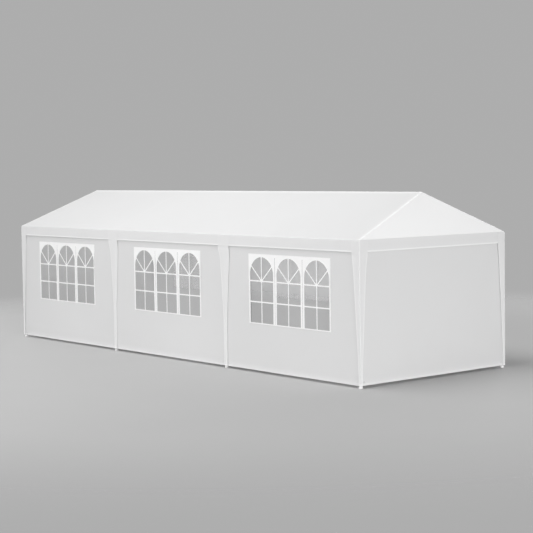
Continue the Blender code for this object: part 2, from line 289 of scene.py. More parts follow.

# %% [markdown]
# ## Clear film and white print
#
# Each window is one patch of soft clear film. White ink is printed on it wherever the glazing bars and the border of
# a real window would be. The film takes some light away and mirrors a little, with a slow waviness from being
# rolled. The ink is flat white with a satin skin. An attribute named "cloudy" makes the upper panes milkier, most of
# all in the front right window. That milkiness is painted paleness: it stands for light that shows through those panes
# from behind, and its amount is a guess. That is a guess: those panes look paler in the photograph, and it may be only
# what lies behind them.

# %% Mix the film and the ink
def clear_film(name):
    material, bench = new_finish(name)
    place = bench.make("ShaderNodeTexCoord").output("Object")
    waves = bench.make("ShaderNodeTexNoise", None, {"Vector": place, "Scale": 3.5, "Detail": 1.0})
    haze = bench.make("ShaderNodeTexNoise", None, {"Vector": place, "Scale": 3.0, "Detail": 5.0})
    cloudy = bench.make("ShaderNodeAttribute", {"attribute_name": "cloudy"}).output("Fac")
    grey = 0.72 + 0.05 * haze
    tint = bench.make("ShaderNodeCombineColor", None, {0: grey, 1: grey, 2: grey * 1.01})
    relief = bench.make("ShaderNodeBump", None, {"Strength": 0.20, "Distance": 0.003, "Height": waves})
    skin = bench.make("ShaderNodeBsdfPrincipled", None, {
        "Base Color": tint,
        "Roughness": 0.10 + 0.12 * haze,
        "Specular IOR Level": 0.5,
        "Normal": relief,
    })
    clear = bench.make("ShaderNodeBsdfTransparent", None, {"Color": (0.97, 0.97, 0.97)})
    # Painted paleness: the upper panes get more of the milky skin, standing for light that shows through from behind.
    film = bench.make("ShaderNodeMixShader", None, {0: 0.22 + 0.05 * haze + 0.14 * cloudy, 1: clear, 2: skin})
    bench.make("ShaderNodeOutputMaterial", None, {"Surface": film})
    return material


def white_ink(name):
    material, bench = new_finish(name)
    place = bench.make("ShaderNodeTexCoord").output("Object")
    dabs = bench.make("ShaderNodeTexNoise", None, {"Vector": place, "Scale": 260.0, "Detail": 2.0})
    clouds = bench.make("ShaderNodeTexNoise", None, {"Vector": place, "Scale": 3.0, "Detail": 3.0})
    shade = 0.92 + 0.025 * clouds + 0.01 * dabs
    colour = bench.make("ShaderNodeCombineColor", None, {0: shade, 1: shade, 2: shade})
    relief = bench.make("ShaderNodeBump", None, {"Strength": 0.2, "Distance": 0.0003, "Height": dabs})
    ink = bench.make("ShaderNodeBsdfPrincipled", None, {
        "Base Color": colour,
        "Roughness": 0.32 + 0.1 * clouds,
        "Specular IOR Level": 0.4,
        "Normal": relief,
    })
    through = bench.make("ShaderNodeBsdfTranslucent", None, {"Color": (0.93, 0.93, 0.93)})
    print_skin = bench.make("ShaderNodeMixShader", None, {0: 0.14, 1: ink, 2: through})
    bench.make("ShaderNodeOutputMaterial", None, {"Surface": print_skin})
    return material


CLEAR_FILM = clear_film("clear_window_film")
WHITE_INK = white_ink("white_window_ink")
print("window finishes:", CLEAR_FILM.name, WHITE_INK.name)

# %% [markdown]
# ## Powder coat, thread, webbing and eyelet metal
#
# The tubes are steel under white powder coat, which has a fine orange-peel skin and picks up grey dust near the
# ground. Thread and webbing are white polyester. Eyelets are rolled from plated metal.

# %% Mix the small finishes
def powder_coat(name):
    material, bench = new_finish(name)
    place = bench.make("ShaderNodeTexCoord").output("Object")
    height = bench.make("ShaderNodeSeparateXYZ", None, {0: place}).output("Z")
    peel = bench.make("ShaderNodeTexNoise", None, {"Vector": place, "Scale": 420.0, "Detail": 2.0})
    clouds = bench.make("ShaderNodeTexNoise", None, {"Vector": place, "Scale": 9.0, "Detail": 4.0})
    dust = bench.make("ShaderNodeMapRange", {"interpolation_type": "SMOOTHSTEP"}, {
        "Value": height, "From Min": 0.0, "From Max": 0.12, "To Min": 0.07, "To Max": 0.0,
    })
    shade = 0.82 + 0.03 * clouds - dust * clouds
    colour = bench.make("ShaderNodeCombineColor", None, {0: shade, 1: shade, 2: shade})
    relief = bench.make("ShaderNodeBump", None, {"Strength": 0.25, "Distance": 0.0004, "Height": peel})
    paint = bench.make("ShaderNodeBsdfPrincipled", None, {
        "Base Color": colour,
        "Roughness": 0.34 + 0.12 * clouds,
        "Normal": relief,
    })
    bench.make("ShaderNodeOutputMaterial", None, {"Surface": paint})
    return material


def polyester(name, rib):
    """Thread or webbing. rib is the width of one twist or rib of it."""
    material, bench = new_finish(name)
    place = bench.make("ShaderNodeTexCoord").output("Object")
    ribs = bench.make("ShaderNodeTexWave", {"bands_direction": "DIAGONAL"}, {
        "Vector": place, "Scale": 0.31 / rib, "Distortion": 0.4,
    })
    shade = 0.80 + 0.06 * ribs
    colour = bench.make("ShaderNodeCombineColor", None, {0: shade, 1: shade, 2: shade})
    relief = bench.make("ShaderNodeBump", None, {"Strength": 0.5, "Distance": rib / 4, "Height": ribs})
    fibre = bench.make("ShaderNodeBsdfPrincipled", None, {
        "Base Color": colour,
        "Roughness": 0.62 + 0.1 * ribs,
        "Sheen Weight": 0.2,
        "Normal": relief,
    })
    bench.make("ShaderNodeOutputMaterial", None, {"Surface": fibre})
    return material


def plated_metal(name):
    material, bench = new_finish(name)
    place = bench.make("ShaderNodeTexCoord").output("Object")
    marks = bench.make("ShaderNodeTexNoise", None, {"Vector": place, "Scale": 300.0, "Detail": 4.0})
    shade = 0.56 + 0.12 * marks
    colour = bench.make("ShaderNodeCombineColor", None, {0: shade, 1: shade, 2: shade * 1.01})
    metal = bench.make("ShaderNodeBsdfPrincipled", None, {
        "Base Color": colour,
        "Metallic": 1.0,
        "Roughness": 0.22 + 0.15 * marks,
    })
    bench.make("ShaderNodeOutputMaterial", None, {"Surface": metal})
    return material


TUBE_PAINT = powder_coat("white_powder_coat")
THREAD = polyester("white_thread", 0.0006)
WEBBING = polyester("white_webbing", 0.0016)
EYELET_METAL = plated_metal("plated_eyelet_metal")
print("small finishes:", TUBE_PAINT.name, THREAD.name, WEBBING.name, EYELET_METAL.name)

# %% [markdown]
# ## The steel frame
#
# The tubes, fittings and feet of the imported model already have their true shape, so they stay. They only get the
# powder coat in place of their plain slot.

# %% Paint the tubes
frame_nodes = [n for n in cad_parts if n.startswith(("leg_", "eave_rail", "end_rail", "ridge_rail", "rafter_"))]
for name in frame_nodes:
    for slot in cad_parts[name].material_slots:
        slot.material = TUBE_PAINT
print("painted", len(frame_nodes), "solids of the frame")

# %% [markdown]
# ## Cloth as a grid of points
#
# A sheet is easiest to shape while it is a table of points: rows up the cloth, columns across it. One helper turns
# such a table into a mesh with smooth shading, writes the flat cut as a UV map in metres, and keeps the attribute that
# marks double cloth and, on the walls, a painted lighter band. Columns that run anticlockwise seen from above, with
# rows going up, give faces that look outwards.

# %% Sheets from points
def ease(low, high, value):
    """0 below low, 1 above high, and a smooth rise between them."""
    t = np.clip((value - low) / (high - low), 0.0, 1.0)
    return t * t * (3.0 - 2.0 * t)


def unevenness(across, along, wavelength, seed, waves=7):
    """A few seeded sine waves of about one length that cross each other, mostly between -1 and 1."""
    dice = np.random.default_rng(seed)
    total = np.zeros(np.broadcast(across, along).shape)
    for _ in range(waves):
        turn = dice.uniform(0.0, 2.0 * math.pi)
        length = wavelength * dice.uniform(0.7, 1.5)
        start = dice.uniform(0.0, 2.0 * math.pi)
        total += np.sin(2.0 * math.pi * (across * math.cos(turn) + along * math.sin(turn)) / length + start)
    return total / math.sqrt(waves) / 1.4


def mesh_object(name, mesh, material):
    piece = bpy.data.objects.new(name, mesh)
    bpy.context.scene.collection.objects.link(piece)
    mesh.materials.append(material)
    mesh.shade_smooth()
    return piece


def sew(name, points, cut, double, material, closed=False, open_faces=None):
    """A mesh sheet from points (rows, columns, 3), its flat cut (rows, columns, 2) and where it is double."""
    rows, columns = points.shape[:2]
    number = np.arange(rows * columns).reshape(rows, columns)
    beside = np.roll(number, -1, axis=1) if closed else number[:, 1:]
    here = number if closed else number[:, :-1]
    quads = np.stack([here[:-1], beside[:-1], beside[1:], here[1:]], axis=-1)
    keep = np.ones(quads.shape[:2], bool) if open_faces is None else ~open_faces
    quads = quads[keep]
    mesh = bpy.data.meshes.new(name)
    mesh.from_pydata(points.reshape(-1, 3).tolist(), [], quads.tolist())
    attribute = mesh.attributes.new("double", "FLOAT", "POINT")
    attribute.data.foreach_set("value", np.broadcast_to(double, (rows, columns)).astype(np.float32).ravel())
    layer = mesh.uv_layers.new(name="cut")
    flat = cut.reshape(-1, 2)[quads.ravel()] if cut.ndim == 3 else cut
    layer.data.foreach_set("uv", flat.astype(np.float32).ravel())
    return mesh_object(name, mesh, material)


def tidy_mesh(piece, distance=0.00002):
    """Merges points that meet and drops loose ones."""
    shape = bmesh.new()
    shape.from_mesh(piece.data)
    bmesh.ops.remove_doubles(shape, verts=shape.verts, dist=distance)
    loose = [v for v in shape.verts if not v.link_faces]
    bmesh.ops.delete(shape, geom=loose, context="VERTS")
    shape.to_mesh(piece.data)
    shape.free()
    return piece


# %% [markdown]
# ## The roof cover
#
# The real cover is one bag of cloth: two slopes, two leaning gables and a valance all round, sewn so that it drops
# over the rails. It could be four flat panels, but their meeting edges would be knife sharp. Here it is one skin made
# of rings, like the hoops of a barrel. The lowest ring is the hem of the valance, the highest is the ridge, and the
# rings crowd together where the cloth bends: over the eave rail, over the ridge tube and up the four rakes.

# %% Profile of the cover, from the hem to the ridge
SKIN = 0.0010
HEM_DEPTH = 0.018
HEM_GAP = 0.0024
EAVE_BEND = 0.010
RIDGE_BEND = 0.022
RAKE_BEND = 0.018
SLOPE = math.atan2(RIDGE_HEIGHT - EAVE_HEIGHT, HALF_WIDTH)
LEAN = math.atan2(HALF_LENGTH - RIDGE_HALF_LENGTH, RIDGE_HEIGHT - EAVE_HEIGHT)


def cover_profile():
    """Rows of (half width, height) up the long side: inner hem, hem fold, valance, eave bend, slope, ridge bend."""
    outer = HALF_WIDTH - SKIN
    inner = outer - HEM_GAP
    low = VALANCE_BOTTOM + 0.0005
    rows = [(inner, low + HEM_DEPTH), (inner, low + HEM_DEPTH / 2), (inner, low + 0.004), (inner, low + 0.0012)]
    rows += [(outer - HEM_GAP / 2, low), (outer, low + 0.0012), (outer, low + 0.004)]
    rows += [(outer, low + HEM_DEPTH / 2), (outer, low + HEM_DEPTH), (outer, low + HEM_DEPTH + 0.004)]
    turn = math.pi / 2 - SLOPE
    reach = EAVE_BEND * math.tan(turn / 2)
    for height in np.linspace(low + HEM_DEPTH + 0.024, EAVE_HEIGHT - reach - 0.008, 6):
        rows.append((outer, height))
    for step in range(8):
        bend = turn * step / 7
        rows.append((
            outer - EAVE_BEND * (1 - math.cos(bend)),
            EAVE_HEIGHT - reach + EAVE_BEND * math.sin(bend),
        ))
    start, end = rows[-1][0] - 0.008, RIDGE_BEND * math.sin(SLOPE) + 0.006
    for half_width in np.linspace(start, end, 26):
        rows.append((half_width, RIDGE_HEIGHT - SKIN - half_width * math.tan(SLOPE)))
    crown = RIDGE_HEIGHT - SKIN - RIDGE_BEND / math.cos(SLOPE)
    for step in range(5):
        bend = SLOPE * (1 - step / 4)
        rows.append((RIDGE_BEND * math.sin(bend), crown + RIDGE_BEND * math.cos(bend)))
    return np.array(rows)


profile = cover_profile()
print("cover rings:", len(profile), "slope", round(math.degrees(SLOPE), 1), "lean", round(math.degrees(LEAN), 1))

# %% Rings of the cover
LONG_STEPS = 150
SHORT_STEPS = 44


def with_support(count, margin):
    """Even fractions from -1 to 1 with one more close to each end, so that the bend there stays tight."""
    even = np.linspace(-1.0, 1.0, count + 1)
    return np.sort(np.concatenate([even, [-1.0 + margin, 1.0 - margin]]))


def half_length_at(half_width, height):
    """How far the ring reaches along X: upright in the valance, leaning in above the eave."""
    lean = HALF_LENGTH - SKIN - np.maximum(height - EAVE_HEIGHT, 0.0) * math.tan(LEAN)
    inward = HALF_WIDTH - SKIN - half_width
    return np.where(height < EAVE_HEIGHT - 0.03, HALF_LENGTH - SKIN - inward, lean)


def ring(half_length, half_width, bend):
    """Points of one ring, anticlockwise from the front left corner, and what each point belongs to."""
    along = with_support(LONG_STEPS, 0.0015) * (half_length - bend)
    short = with_support(SHORT_STEPS, 0.0050) * (half_width - bend)
    arc = np.radians(np.linspace(0.0, 90.0, 6)[1:-1])
    points, blocks = [], []

    def corner(x_sign, y_sign, start):
        for turn in arc + start:
            points.append((
                x_sign * (half_length - bend) + bend * math.sin(turn),
                y_sign * (half_width - bend) - bend * math.cos(turn),
            ))
            blocks.append(0)

    points += [(x, -half_width) for x in along]
    blocks += [0] * len(along)
    corner(1, -1, 0.0)
    points += [(half_length, y) for y in short]
    blocks += [1] * len(short)
    corner(1, 1, math.pi / 2)
    points += [(x, half_width) for x in along[::-1]]
    blocks += [0] * len(along)
    corner(-1, 1, math.pi)
    points += [(-half_length, y) for y in short[::-1]]
    blocks += [1] * len(short)
    corner(-1, -1, 1.5 * math.pi)
    return np.array(points), np.array(blocks)


def cover_points():
    places = []
    for half_width, height in profile:
        half_length = float(half_length_at(half_width, height))
        bend = min(RAKE_BEND, 0.9 * half_width)
        flat, blocks = ring(half_length, half_width, bend)
        places.append(np.column_stack([flat, np.full(len(flat), height)]))
    return np.array(places), blocks


cover, cover_blocks = cover_points()
print("cover points:", cover.shape[0], "rings of", cover.shape[1])

# %% [markdown]
# ### How the cover gives
#
# Tight cloth still sags a finger's width between the rafters, and the valance hangs in slow waves between the
# drapes. A cloth simulation would give this too, but a few seeded waves do it with the amounts under control.
# The amounts fade out at every tube, because there the cloth is held.

# %% Sag, waves and where the cover is double
SAG = 0.011
VALANCE_WAVE = 0.0012
DRAPE_HALF_TOP = 0.140


def rafter_sag(x, half_width):
    """From 0 on the rafters, the eave and the ridge to 1 in the middle of a bay."""
    end = np.maximum(RIDGE_HALF_LENGTH + (HALF_LENGTH - RIDGE_HALF_LENGTH) * half_width / HALF_WIDTH, 2.0)
    middle_bay = np.cos(math.pi * x / (2 * MIDDLE_LEG_X)) ** 2
    outer_bay = np.sin(math.pi * np.clip((np.abs(x) - MIDDLE_LEG_X) / (end - MIDDLE_LEG_X), 0.0, 1.0)) ** 2
    span = np.where(np.abs(x) < MIDDLE_LEG_X, middle_bay, outer_bay)
    return span * np.sin(math.pi * np.clip(half_width / HALF_WIDTH, 0.0, 1.0)) ** 1.3


def away_from_drapes(along, middle_drapes):
    """0 at a drape and 1 well away from it."""
    from_corner = (HALF_LENGTH if middle_drapes else HALF_WIDTH) - np.abs(along)
    clear = ease(0.15, 0.45, from_corner)
    if middle_drapes:
        clear = clear * ease(0.15, 0.45, np.abs(np.abs(along) - MIDDLE_LEG_X))
    return clear


def shape_cover(points, blocks):
    shaped = points.copy()
    x, y, z = points[..., 0], points[..., 1], points[..., 2]
    long_side = (blocks == 0)[None, :] & (np.abs(y) > 0.0)
    on_roof = z > EAVE_HEIGHT + 0.012
    side = np.sign(y)
    sag = SAG * rafter_sag(x, np.abs(y))
    sag += 0.0012 * unevenness(x, y, 0.55, 4) * rafter_sag(x, np.abs(y)) ** 0.3
    slope_part = long_side & on_roof
    shaped[..., 1] -= np.where(slope_part, side * math.sin(SLOPE) * sag, 0.0)
    shaped[..., 2] -= np.where(slope_part, math.cos(SLOPE) * sag, 0.0)
    gable_part = (blocks == 1)[None, :] & on_roof
    up_gable = np.clip((z - EAVE_HEIGHT) / (RIDGE_HEIGHT - EAVE_HEIGHT), 0.0, 1.0)
    reach = np.maximum(HALF_WIDTH * (1.0 - up_gable), 0.001)
    bulge = 0.006 * np.cos(0.5 * math.pi * np.clip(y / reach, -1, 1)) ** 2 * np.sin(math.pi * up_gable)
    shaped[..., 0] -= np.where(gable_part, np.sign(x) * bulge, 0.0)
    drop = np.clip((EAVE_HEIGHT - 0.02 - z) / (EAVE_HEIGHT - VALANCE_BOTTOM - 0.02), 0.0, 1.0) ** 1.3
    front_wave = unevenness(x + 7.0 * side, z * 0.4, 0.62, 11) * away_from_drapes(x, True)
    end_wave = unevenness(y + 5.0 * np.sign(x), z * 0.4, 0.55, 12) * away_from_drapes(y, False)
    hangs = z < EAVE_HEIGHT - 0.015
    shaped[..., 1] += np.where(hangs & long_side, side * VALANCE_WAVE * drop * front_wave, 0.0)
    shaped[..., 0] += np.where(hangs & (blocks == 1)[None, :], np.sign(x) * VALANCE_WAVE * drop * end_wave, 0.0)
    return shaped


def cover_double(points, blocks):
    x, y, z = points[..., 0], points[..., 1], points[..., 2]
    hem = 1.0 - ease(VALANCE_BOTTOM + HEM_DEPTH, VALANCE_BOTTOM + HEM_DEPTH + 0.004, z)
    ridge = 1.0 - ease(0.012, 0.030, np.abs(y))
    rake = 1.0 - ease(0.0, 0.012, np.hypot(0.0, np.where((blocks == 0)[None, :], 1.0, 0.0) * (
        np.maximum(RIDGE_HALF_LENGTH + 0.174 * np.abs(y) - RAKE_BEND - np.abs(x), 0.0))))
    rake = np.where(z > EAVE_HEIGHT, rake, 0.0)
    seam = 0.12 * (1.0 - ease(0.014, 0.020, np.abs(np.abs(x) - MIDDLE_LEG_X))) * (z > EAVE_HEIGHT)
    return np.clip(np.maximum.reduce([hem, ridge * (z > EAVE_HEIGHT), rake, seam]), 0.0, 1.0)


def cover_cut(points, blocks):
    """The flat cut at each corner of each face: along the side and up the profile, each panel by its own measure."""
    rows, columns = points.shape[:2]
    side_run = np.concatenate([[0.0], np.cumsum(np.hypot(*np.diff(profile, axis=0).T))])
    lengths = np.array([float(half_length_at(w, h)) for w, h in profile])
    end_run = np.concatenate([[0.0], np.cumsum(np.hypot(np.diff(lengths), np.diff(profile[:, 1])))])
    face_block = ((blocks == 1) & (np.roll(blocks, -1) == 1)).astype(int)
    corners = []
    for row_step, column_step in ((0, 0), (0, 1), (1, 1), (1, 0)):
        shifted = np.roll(points, -column_step, axis=1)[row_step:rows - 1 + row_step]
        across = np.where(face_block[None, :] == 1, shifted[..., 1] + 6.0, shifted[..., 0])
        run_rows = slice(row_step, rows - 1 + row_step)
        upward = np.where(face_block[None, :] == 1, end_run[run_rows, None], side_run[run_rows, None])
        corners.append(np.stack([across, upward], axis=-1))
    return np.stack(corners, axis=2).reshape(-1, 2)


roof_cover = sew(
    "roof_cover",
    shape_cover(cover, cover_blocks),
    cover_cut(cover, cover_blocks),
    cover_double(cover, cover_blocks),
    ROOF_SHEET,
    closed=True,
)
tidy_mesh(roof_cover)
print("roof cover faces:", len(roof_cover.data.polygons))

# %% [markdown]
# ## Leg drapes
#
# A strip of the same cloth hangs from the valance over every leg and narrows towards the foot. At the corners it is
# folded round, and along the sides it is flat with its edges eased back towards the wall. It covers the valance up
# to the eave, so the valance's hem line stops at it, and it stays smooth because its own weight pulls it straight.

# %% Cut of the drapes
DRAPE_PROUD = 0.0016
DRAPE_EASE = 0.009
DRAPE_SWING = 0.018
MIDDLE_DRAPE_CUT = ((2.034, 0.138), (1.875, 0.135), (1.70, 0.114), (1.33, 0.081), (0.75, 0.041), (0.036, 0.037))
CORNER_DRAPE_CUT = ((2.034, 0.162), (1.875, 0.158), (1.62, 0.128), (0.80, 0.078), (0.30, 0.048), (0.036, 0.040))
DRAPE_HEM = 0.012


def drape_rows():
    heights = np.concatenate([
        np.linspace(DRAPE_BOTTOM, DRAPE_BOTTOM + 0.03, 4),
        np.linspace(DRAPE_BOTTOM + 0.05, VALANCE_BOTTOM - 0.02, 60),
        np.linspace(VALANCE_BOTTOM, 2.034, 10),
    ])
    return heights


def cut_width(cut, heights):
    """Half width at each height, rounded off where the cut changes its slope."""
    table = np.array(cut)[::-1]
    fine = np.linspace(table[0, 0], table[-1, 0], 400)
    width = np.interp(fine, table[:, 0], table[:, 1])
    rounded = np.convolve(np.pad(width, 20, mode="edge"), np.ones(41) / 41.0, mode="valid")
    return np.interp(heights, fine, rounded)


def edge_fractions(half_width):
    """Columns from -1 to 1 with the side hems kept at a fixed width."""
    hem = min(DRAPE_HEM / half_width, 0.45)
    inner = np.linspace(-1.0 + hem, 1.0 - hem, 11)
    return np.concatenate([[-1.0, -1.0 + hem * 0.5, -1.0 + hem * 0.92], inner, [1.0 - hem * 0.92, 1.0 - hem * 0.5, 1.0]])


def drape_double(heights, columns):
    side_hem = np.zeros(columns)
    side_hem[:3] = 1.0
    side_hem[-3:] = 1.0
    below_valance = 1.0 - ease(VALANCE_BOTTOM - 0.06, VALANCE_BOTTOM, heights)
    bottom_hem = 1.0 - ease(DRAPE_BOTTOM + 0.02, DRAPE_BOTTOM + 0.03, heights)
    return np.maximum(side_hem[None, :] * below_valance[:, None], bottom_hem[:, None])


def middle_drape(side, end):
    heights = drape_rows()
    half = cut_width(MIDDLE_DRAPE_CUT, heights)
    places, cut = [], []
    for number, (height, half_width) in enumerate(zip(heights, half)):
        fraction = edge_fractions(half_width)
        free = float(ease(0.0, 0.20, VALANCE_BOTTOM - height))
        back = DRAPE_EASE * free * np.abs(fraction) ** 1.4
        ripple = 0.0016 * free * np.sin(5.0 * fraction + 1.7 * height + 2.1 * end + side)
        out = HALF_WIDTH - SKIN + DRAPE_PROUD - back + ripple * (1.0 - fraction ** 2)
        x = end * MIDDLE_LEG_X + fraction * half_width - side * DRAPE_SWING * free
        places.append(np.column_stack([x, side * out, np.full(len(x), height)]))
        cut.append(np.column_stack([fraction * half_width, np.full(len(x), height)]))
    points, flat = np.array(places), np.array(cut)
    if side == BACK:
        points, flat = points[:, ::-1], flat[:, ::-1]
    name = f"leg_drape_{SIDE_NAMES[side]}_middle_{END_NAMES[end]}"
    drape = sew(name, points, flat, drape_double(heights, points.shape[1]), DRAPE_SHEET)
    drape.data["columns"] = points.shape[1]
    return drape


middle_drapes = {(s, e): middle_drape(s, e) for s in (FRONT, BACK) for e in (LEFT, RIGHT)}
print("middle drapes:", len(middle_drapes))

# %% Fold the corner drapes
CORNER_BEND = 0.007
CORNER_EASE = 0.005


def corner_section(arm):
    """Run along the fold from one arm's edge, round the corner, to the other arm's edge: (side step, end step)."""
    hem = min(DRAPE_HEM / arm, 0.4)
    straight = np.concatenate([
        [1.0, 1.0 - hem * 0.5, 1.0 - hem * 0.92],
        np.linspace(1.0 - hem, (CORNER_BEND + 0.003) / arm, 7),
    ]) * arm
    arc = np.radians(np.linspace(0.0, 90.0, 7))
    bend = [(CORNER_BEND * (1 - math.sin(a)), CORNER_BEND * (1 - math.cos(a))) for a in arc]
    first = [(distance, 0.0) for distance in straight]
    last = [(0.0, distance) for distance in straight[::-1]]
    return np.array(first + bend + last)


def corner_drape(side, end):
    heights = drape_rows()
    half = cut_width(CORNER_DRAPE_CUT, heights)
    places, cut = [], []
    for height, arm in zip(heights, half):
        section = corner_section(arm)
        free = float(ease(0.0, 0.20, VALANCE_BOTTOM - height))
        ripple = 0.0012 * free * math.sin(2.3 * height + side + 2.0 * end)
        inward_y = CORNER_EASE * free * (section[:, 0] / arm) ** 2 + ripple
        inward_x = CORNER_EASE * free * (section[:, 1] / arm) ** 2 - ripple
        x = end * (HALF_LENGTH - SKIN + DRAPE_PROUD - section[:, 0] - inward_x)
        y = side * (HALF_WIDTH - SKIN + DRAPE_PROUD - section[:, 1] - inward_y)
        places.append(np.column_stack([x, y, np.full(len(x), height)]))
        run = np.concatenate([[0.0], np.cumsum(np.hypot(*np.diff(section, axis=0).T))])
        cut.append(np.column_stack([run - run[-1] / 2, np.full(len(x), height)]))
    points, flat = np.array(places), np.array(cut)
    if side * end > 0:
        points, flat = points[:, ::-1], flat[:, ::-1]
    name = f"leg_drape_{SIDE_NAMES[side]}_corner_{END_NAMES[end]}"
    drape = sew(name, points, flat, drape_double(heights, points.shape[1]), DRAPE_SHEET)
    drape.data["columns"] = points.shape[1]
    return drape


corner_drapes = {(s, e): corner_drape(s, e) for s in (FRONT, BACK) for e in (LEFT, RIGHT)}
print("corner drapes:", len(corner_drapes))

# %% [markdown]
# ## Side walls
#
# Six walls with windows and two plain end walls hang from the rails behind the valance. Each is a separate sheet,
# hemmed all round, that ends a hand's breadth of light above the ground. A wall is shaped by one function of where
# on it a point lies, and the window patch uses the same function, so film, ink and cloth move together.

# %% How a wall hangs
WALL_HEM = 0.030
WALL_SKIN = 0.0012
PATCH_WIDTH = PATCH_HIGH.x - PATCH_LOW.x
PATCH_BOTTOM, PATCH_TOP = PATCH_LOW.z, PATCH_HIGH.z
PATCH_LAP = 0.014
WALL_SPANS = {
    "left": (-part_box("wall_front_right")[1].x, -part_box("wall_front_right")[0].x),
    "middle": (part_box("wall_front_middle")[0].x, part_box("wall_front_middle")[1].x),
    "right": (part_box("wall_front_right")[0].x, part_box("wall_front_right")[1].x),
}


def wall_bulge(along, height, width, seed):
    """How far a wall stands out of its plane. It is held at the top, at both sides and a little at the bottom."""
    from_side = width / 2 - np.abs(along)
    free = ease(0.02, 0.45, from_side) * ease(0.02, 0.5, WALL_TOP - height)
    slow = 0.0045 * unevenness(along, height * 0.35, 1.5, seed) * free
    pulls = 0.0011 * np.sin(2 * math.pi * along / 0.5 + seed) * np.exp(-(WALL_TOP - height) / 0.35)
    low = np.exp(-(height - WALL_BOTTOM) / 0.10) * ease(0.0, 0.12, from_side)
    puckers = 0.0018 * unevenness(along, height * 0.15, 0.16, seed + 40) * low
    return slow + pulls * ease(0.0, 0.1, from_side) + puckers


def lines_between(low, high, step, extra=()):
    """Even lines about one step apart, with extra ones put in and near doubles left out."""
    count = max(int(round((high - low) / step)), 1)
    lines = list(np.linspace(low, high, count + 1))
    for value in extra:
        lines = [v for v in lines if abs(v - value) > 0.004 or v in (low, high)]
        lines.append(value)
    return np.array(sorted(lines))


def wall_sheet(name, facing, middle, width, seed, window):
    """facing is front, back, left or right. The columns run anticlockwise, so the faces look outwards."""
    side_lines = [-width / 2 + WALL_HEM, -width / 2 + WALL_HEM + 0.004, width / 2 - WALL_HEM - 0.004, width / 2 - WALL_HEM]
    rise_lines = [WALL_BOTTOM + 0.006, WALL_BOTTOM + WALL_HEM, WALL_BOTTOM + WALL_HEM + 0.004, WALL_TOP - WALL_HEM]
    if window:
        hole_x, hole_low, hole_high = PATCH_WIDTH / 2 - PATCH_LAP, PATCH_BOTTOM + PATCH_LAP, PATCH_TOP - PATCH_LAP
        side_lines += [-hole_x, hole_x]
        rise_lines += [hole_low, hole_high]
    along = lines_between(-width / 2, width / 2, 0.045, side_lines)
    height = lines_between(WALL_BOTTOM + 0.0004, WALL_TOP, 0.040, rise_lines)
    turned_up = np.array([WALL_BOTTOM + WALL_HEM, WALL_BOTTOM + WALL_HEM / 2, WALL_BOTTOM + 0.0014])
    rows = np.concatenate([turned_up, height])
    grid_x, grid_z = np.meshgrid(along, rows)
    out = wall_bulge(grid_x, grid_z, width, seed) - WALL_SKIN
    out[: len(turned_up)] -= 0.0020
    double = np.maximum.reduce([
        1.0 - ease(WALL_BOTTOM + WALL_HEM, WALL_BOTTOM + WALL_HEM + 0.004, grid_z),
        # Painted light: a lighter band on single cloth from the hem up to 0.13 m, standing for light thrown up from
        # the floor.
        0.45 * (1.0 - ease(0.06, 0.13, grid_z)),
        0.8 * (1.0 - ease(WALL_HEM, WALL_HEM + 0.004, width / 2 - np.abs(grid_x))),
        1.0 - ease(WALL_HEM, WALL_HEM + 0.004, WALL_TOP - grid_z),
    ])
    points = on_wall(facing, middle, grid_x, grid_z, out)
    open_faces = None
    if window:
        centre_x = (along[:-1] + along[1:]) / 2
        centre_z = (rows[:-1] + rows[1:]) / 2
        open_faces = (np.abs(centre_x)[None, :] < hole_x) & ((centre_z > hole_low) & (centre_z < hole_high))[:, None]
    flat = np.stack([grid_x, grid_z], axis=-1)
    piece = sew(name, points, flat, double, WALL_SHEET, open_faces=open_faces)
    return tidy_mesh(piece)


def on_wall(facing, middle, along, height, out):
    """Turns wall measures into places: along runs anticlockwise round the tent, out is outwards."""
    along, height, out = np.broadcast_arrays(along, height, out)
    if facing == "front":
        return np.stack([middle + along, -(WALL_FACE_Y + out), height], axis=-1)
    if facing == "back":
        return np.stack([middle - along, WALL_FACE_Y + out, height], axis=-1)
    if facing == "right":
        return np.stack([WALL_FACE_X + out, middle + along, height], axis=-1)
    return np.stack([-(WALL_FACE_X + out), middle - along, height], axis=-1)


# %% Hang the walls
walls = {}
wall_seeds = {}
for facing in ("front", "back"):
    for number, bay in enumerate(BAYS):
        low, high = WALL_SPANS[bay]
        name = f"side_wall_{facing}_{bay}"
        wall_seeds[name] = 20 + number + (10 if facing == "back" else 0)
        walls[name] = wall_sheet(name, facing, (low + high) / 2, high - low, wall_seeds[name], True)
END_WALL_WIDTH = 2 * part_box("wall_right")[1].y
for facing in ("left", "right"):
    name = f"end_wall_{facing}"
    wall_seeds[name] = 35 if facing == "left" else 36
    walls[name] = wall_sheet(name, facing, 0.0, END_WALL_WIDTH, wall_seeds[name], False)
print("walls:", len(walls), "faces:", sum(len(w.data.polygons) for w in walls.values()))

# %% [markdown]
# ## Windows
#
# Each patch shows three arched lights side by side. A light has four panes in its arched head, split by an upright
# bar and two slanting ones, and four panes below. The panes are found as a joiner would saw them: take the outline
# of the light and cut away everything beyond each bar. What is left of the patch is the white print, and it is cut
# into triangles that follow the arches exactly, so the print stays crisp from close by.

# %% Saw the panes
LIGHT_WIDTH = 0.530
LIGHT_PITCH = 0.610
LIGHT_BOTTOM = 0.750
LIGHT_TOP = 1.729
BAR = 0.019
TRANSOM = 1.373
LOWER_BAR = 1.062
FAN_ANGLE = math.radians(46.5)
ARCH_STEPS = 28


def light_outline():
    """Anticlockwise outline of one light about its own middle."""
    radius = LIGHT_WIDTH / 2
    spring = LIGHT_TOP - radius
    points = [(-radius, LIGHT_BOTTOM), (radius, LIGHT_BOTTOM)]
    for step in range(ARCH_STEPS + 1):
        turn = math.pi * step / ARCH_STEPS
        points.append((radius * math.cos(turn), spring + radius * math.sin(turn)))
    return np.array(points)


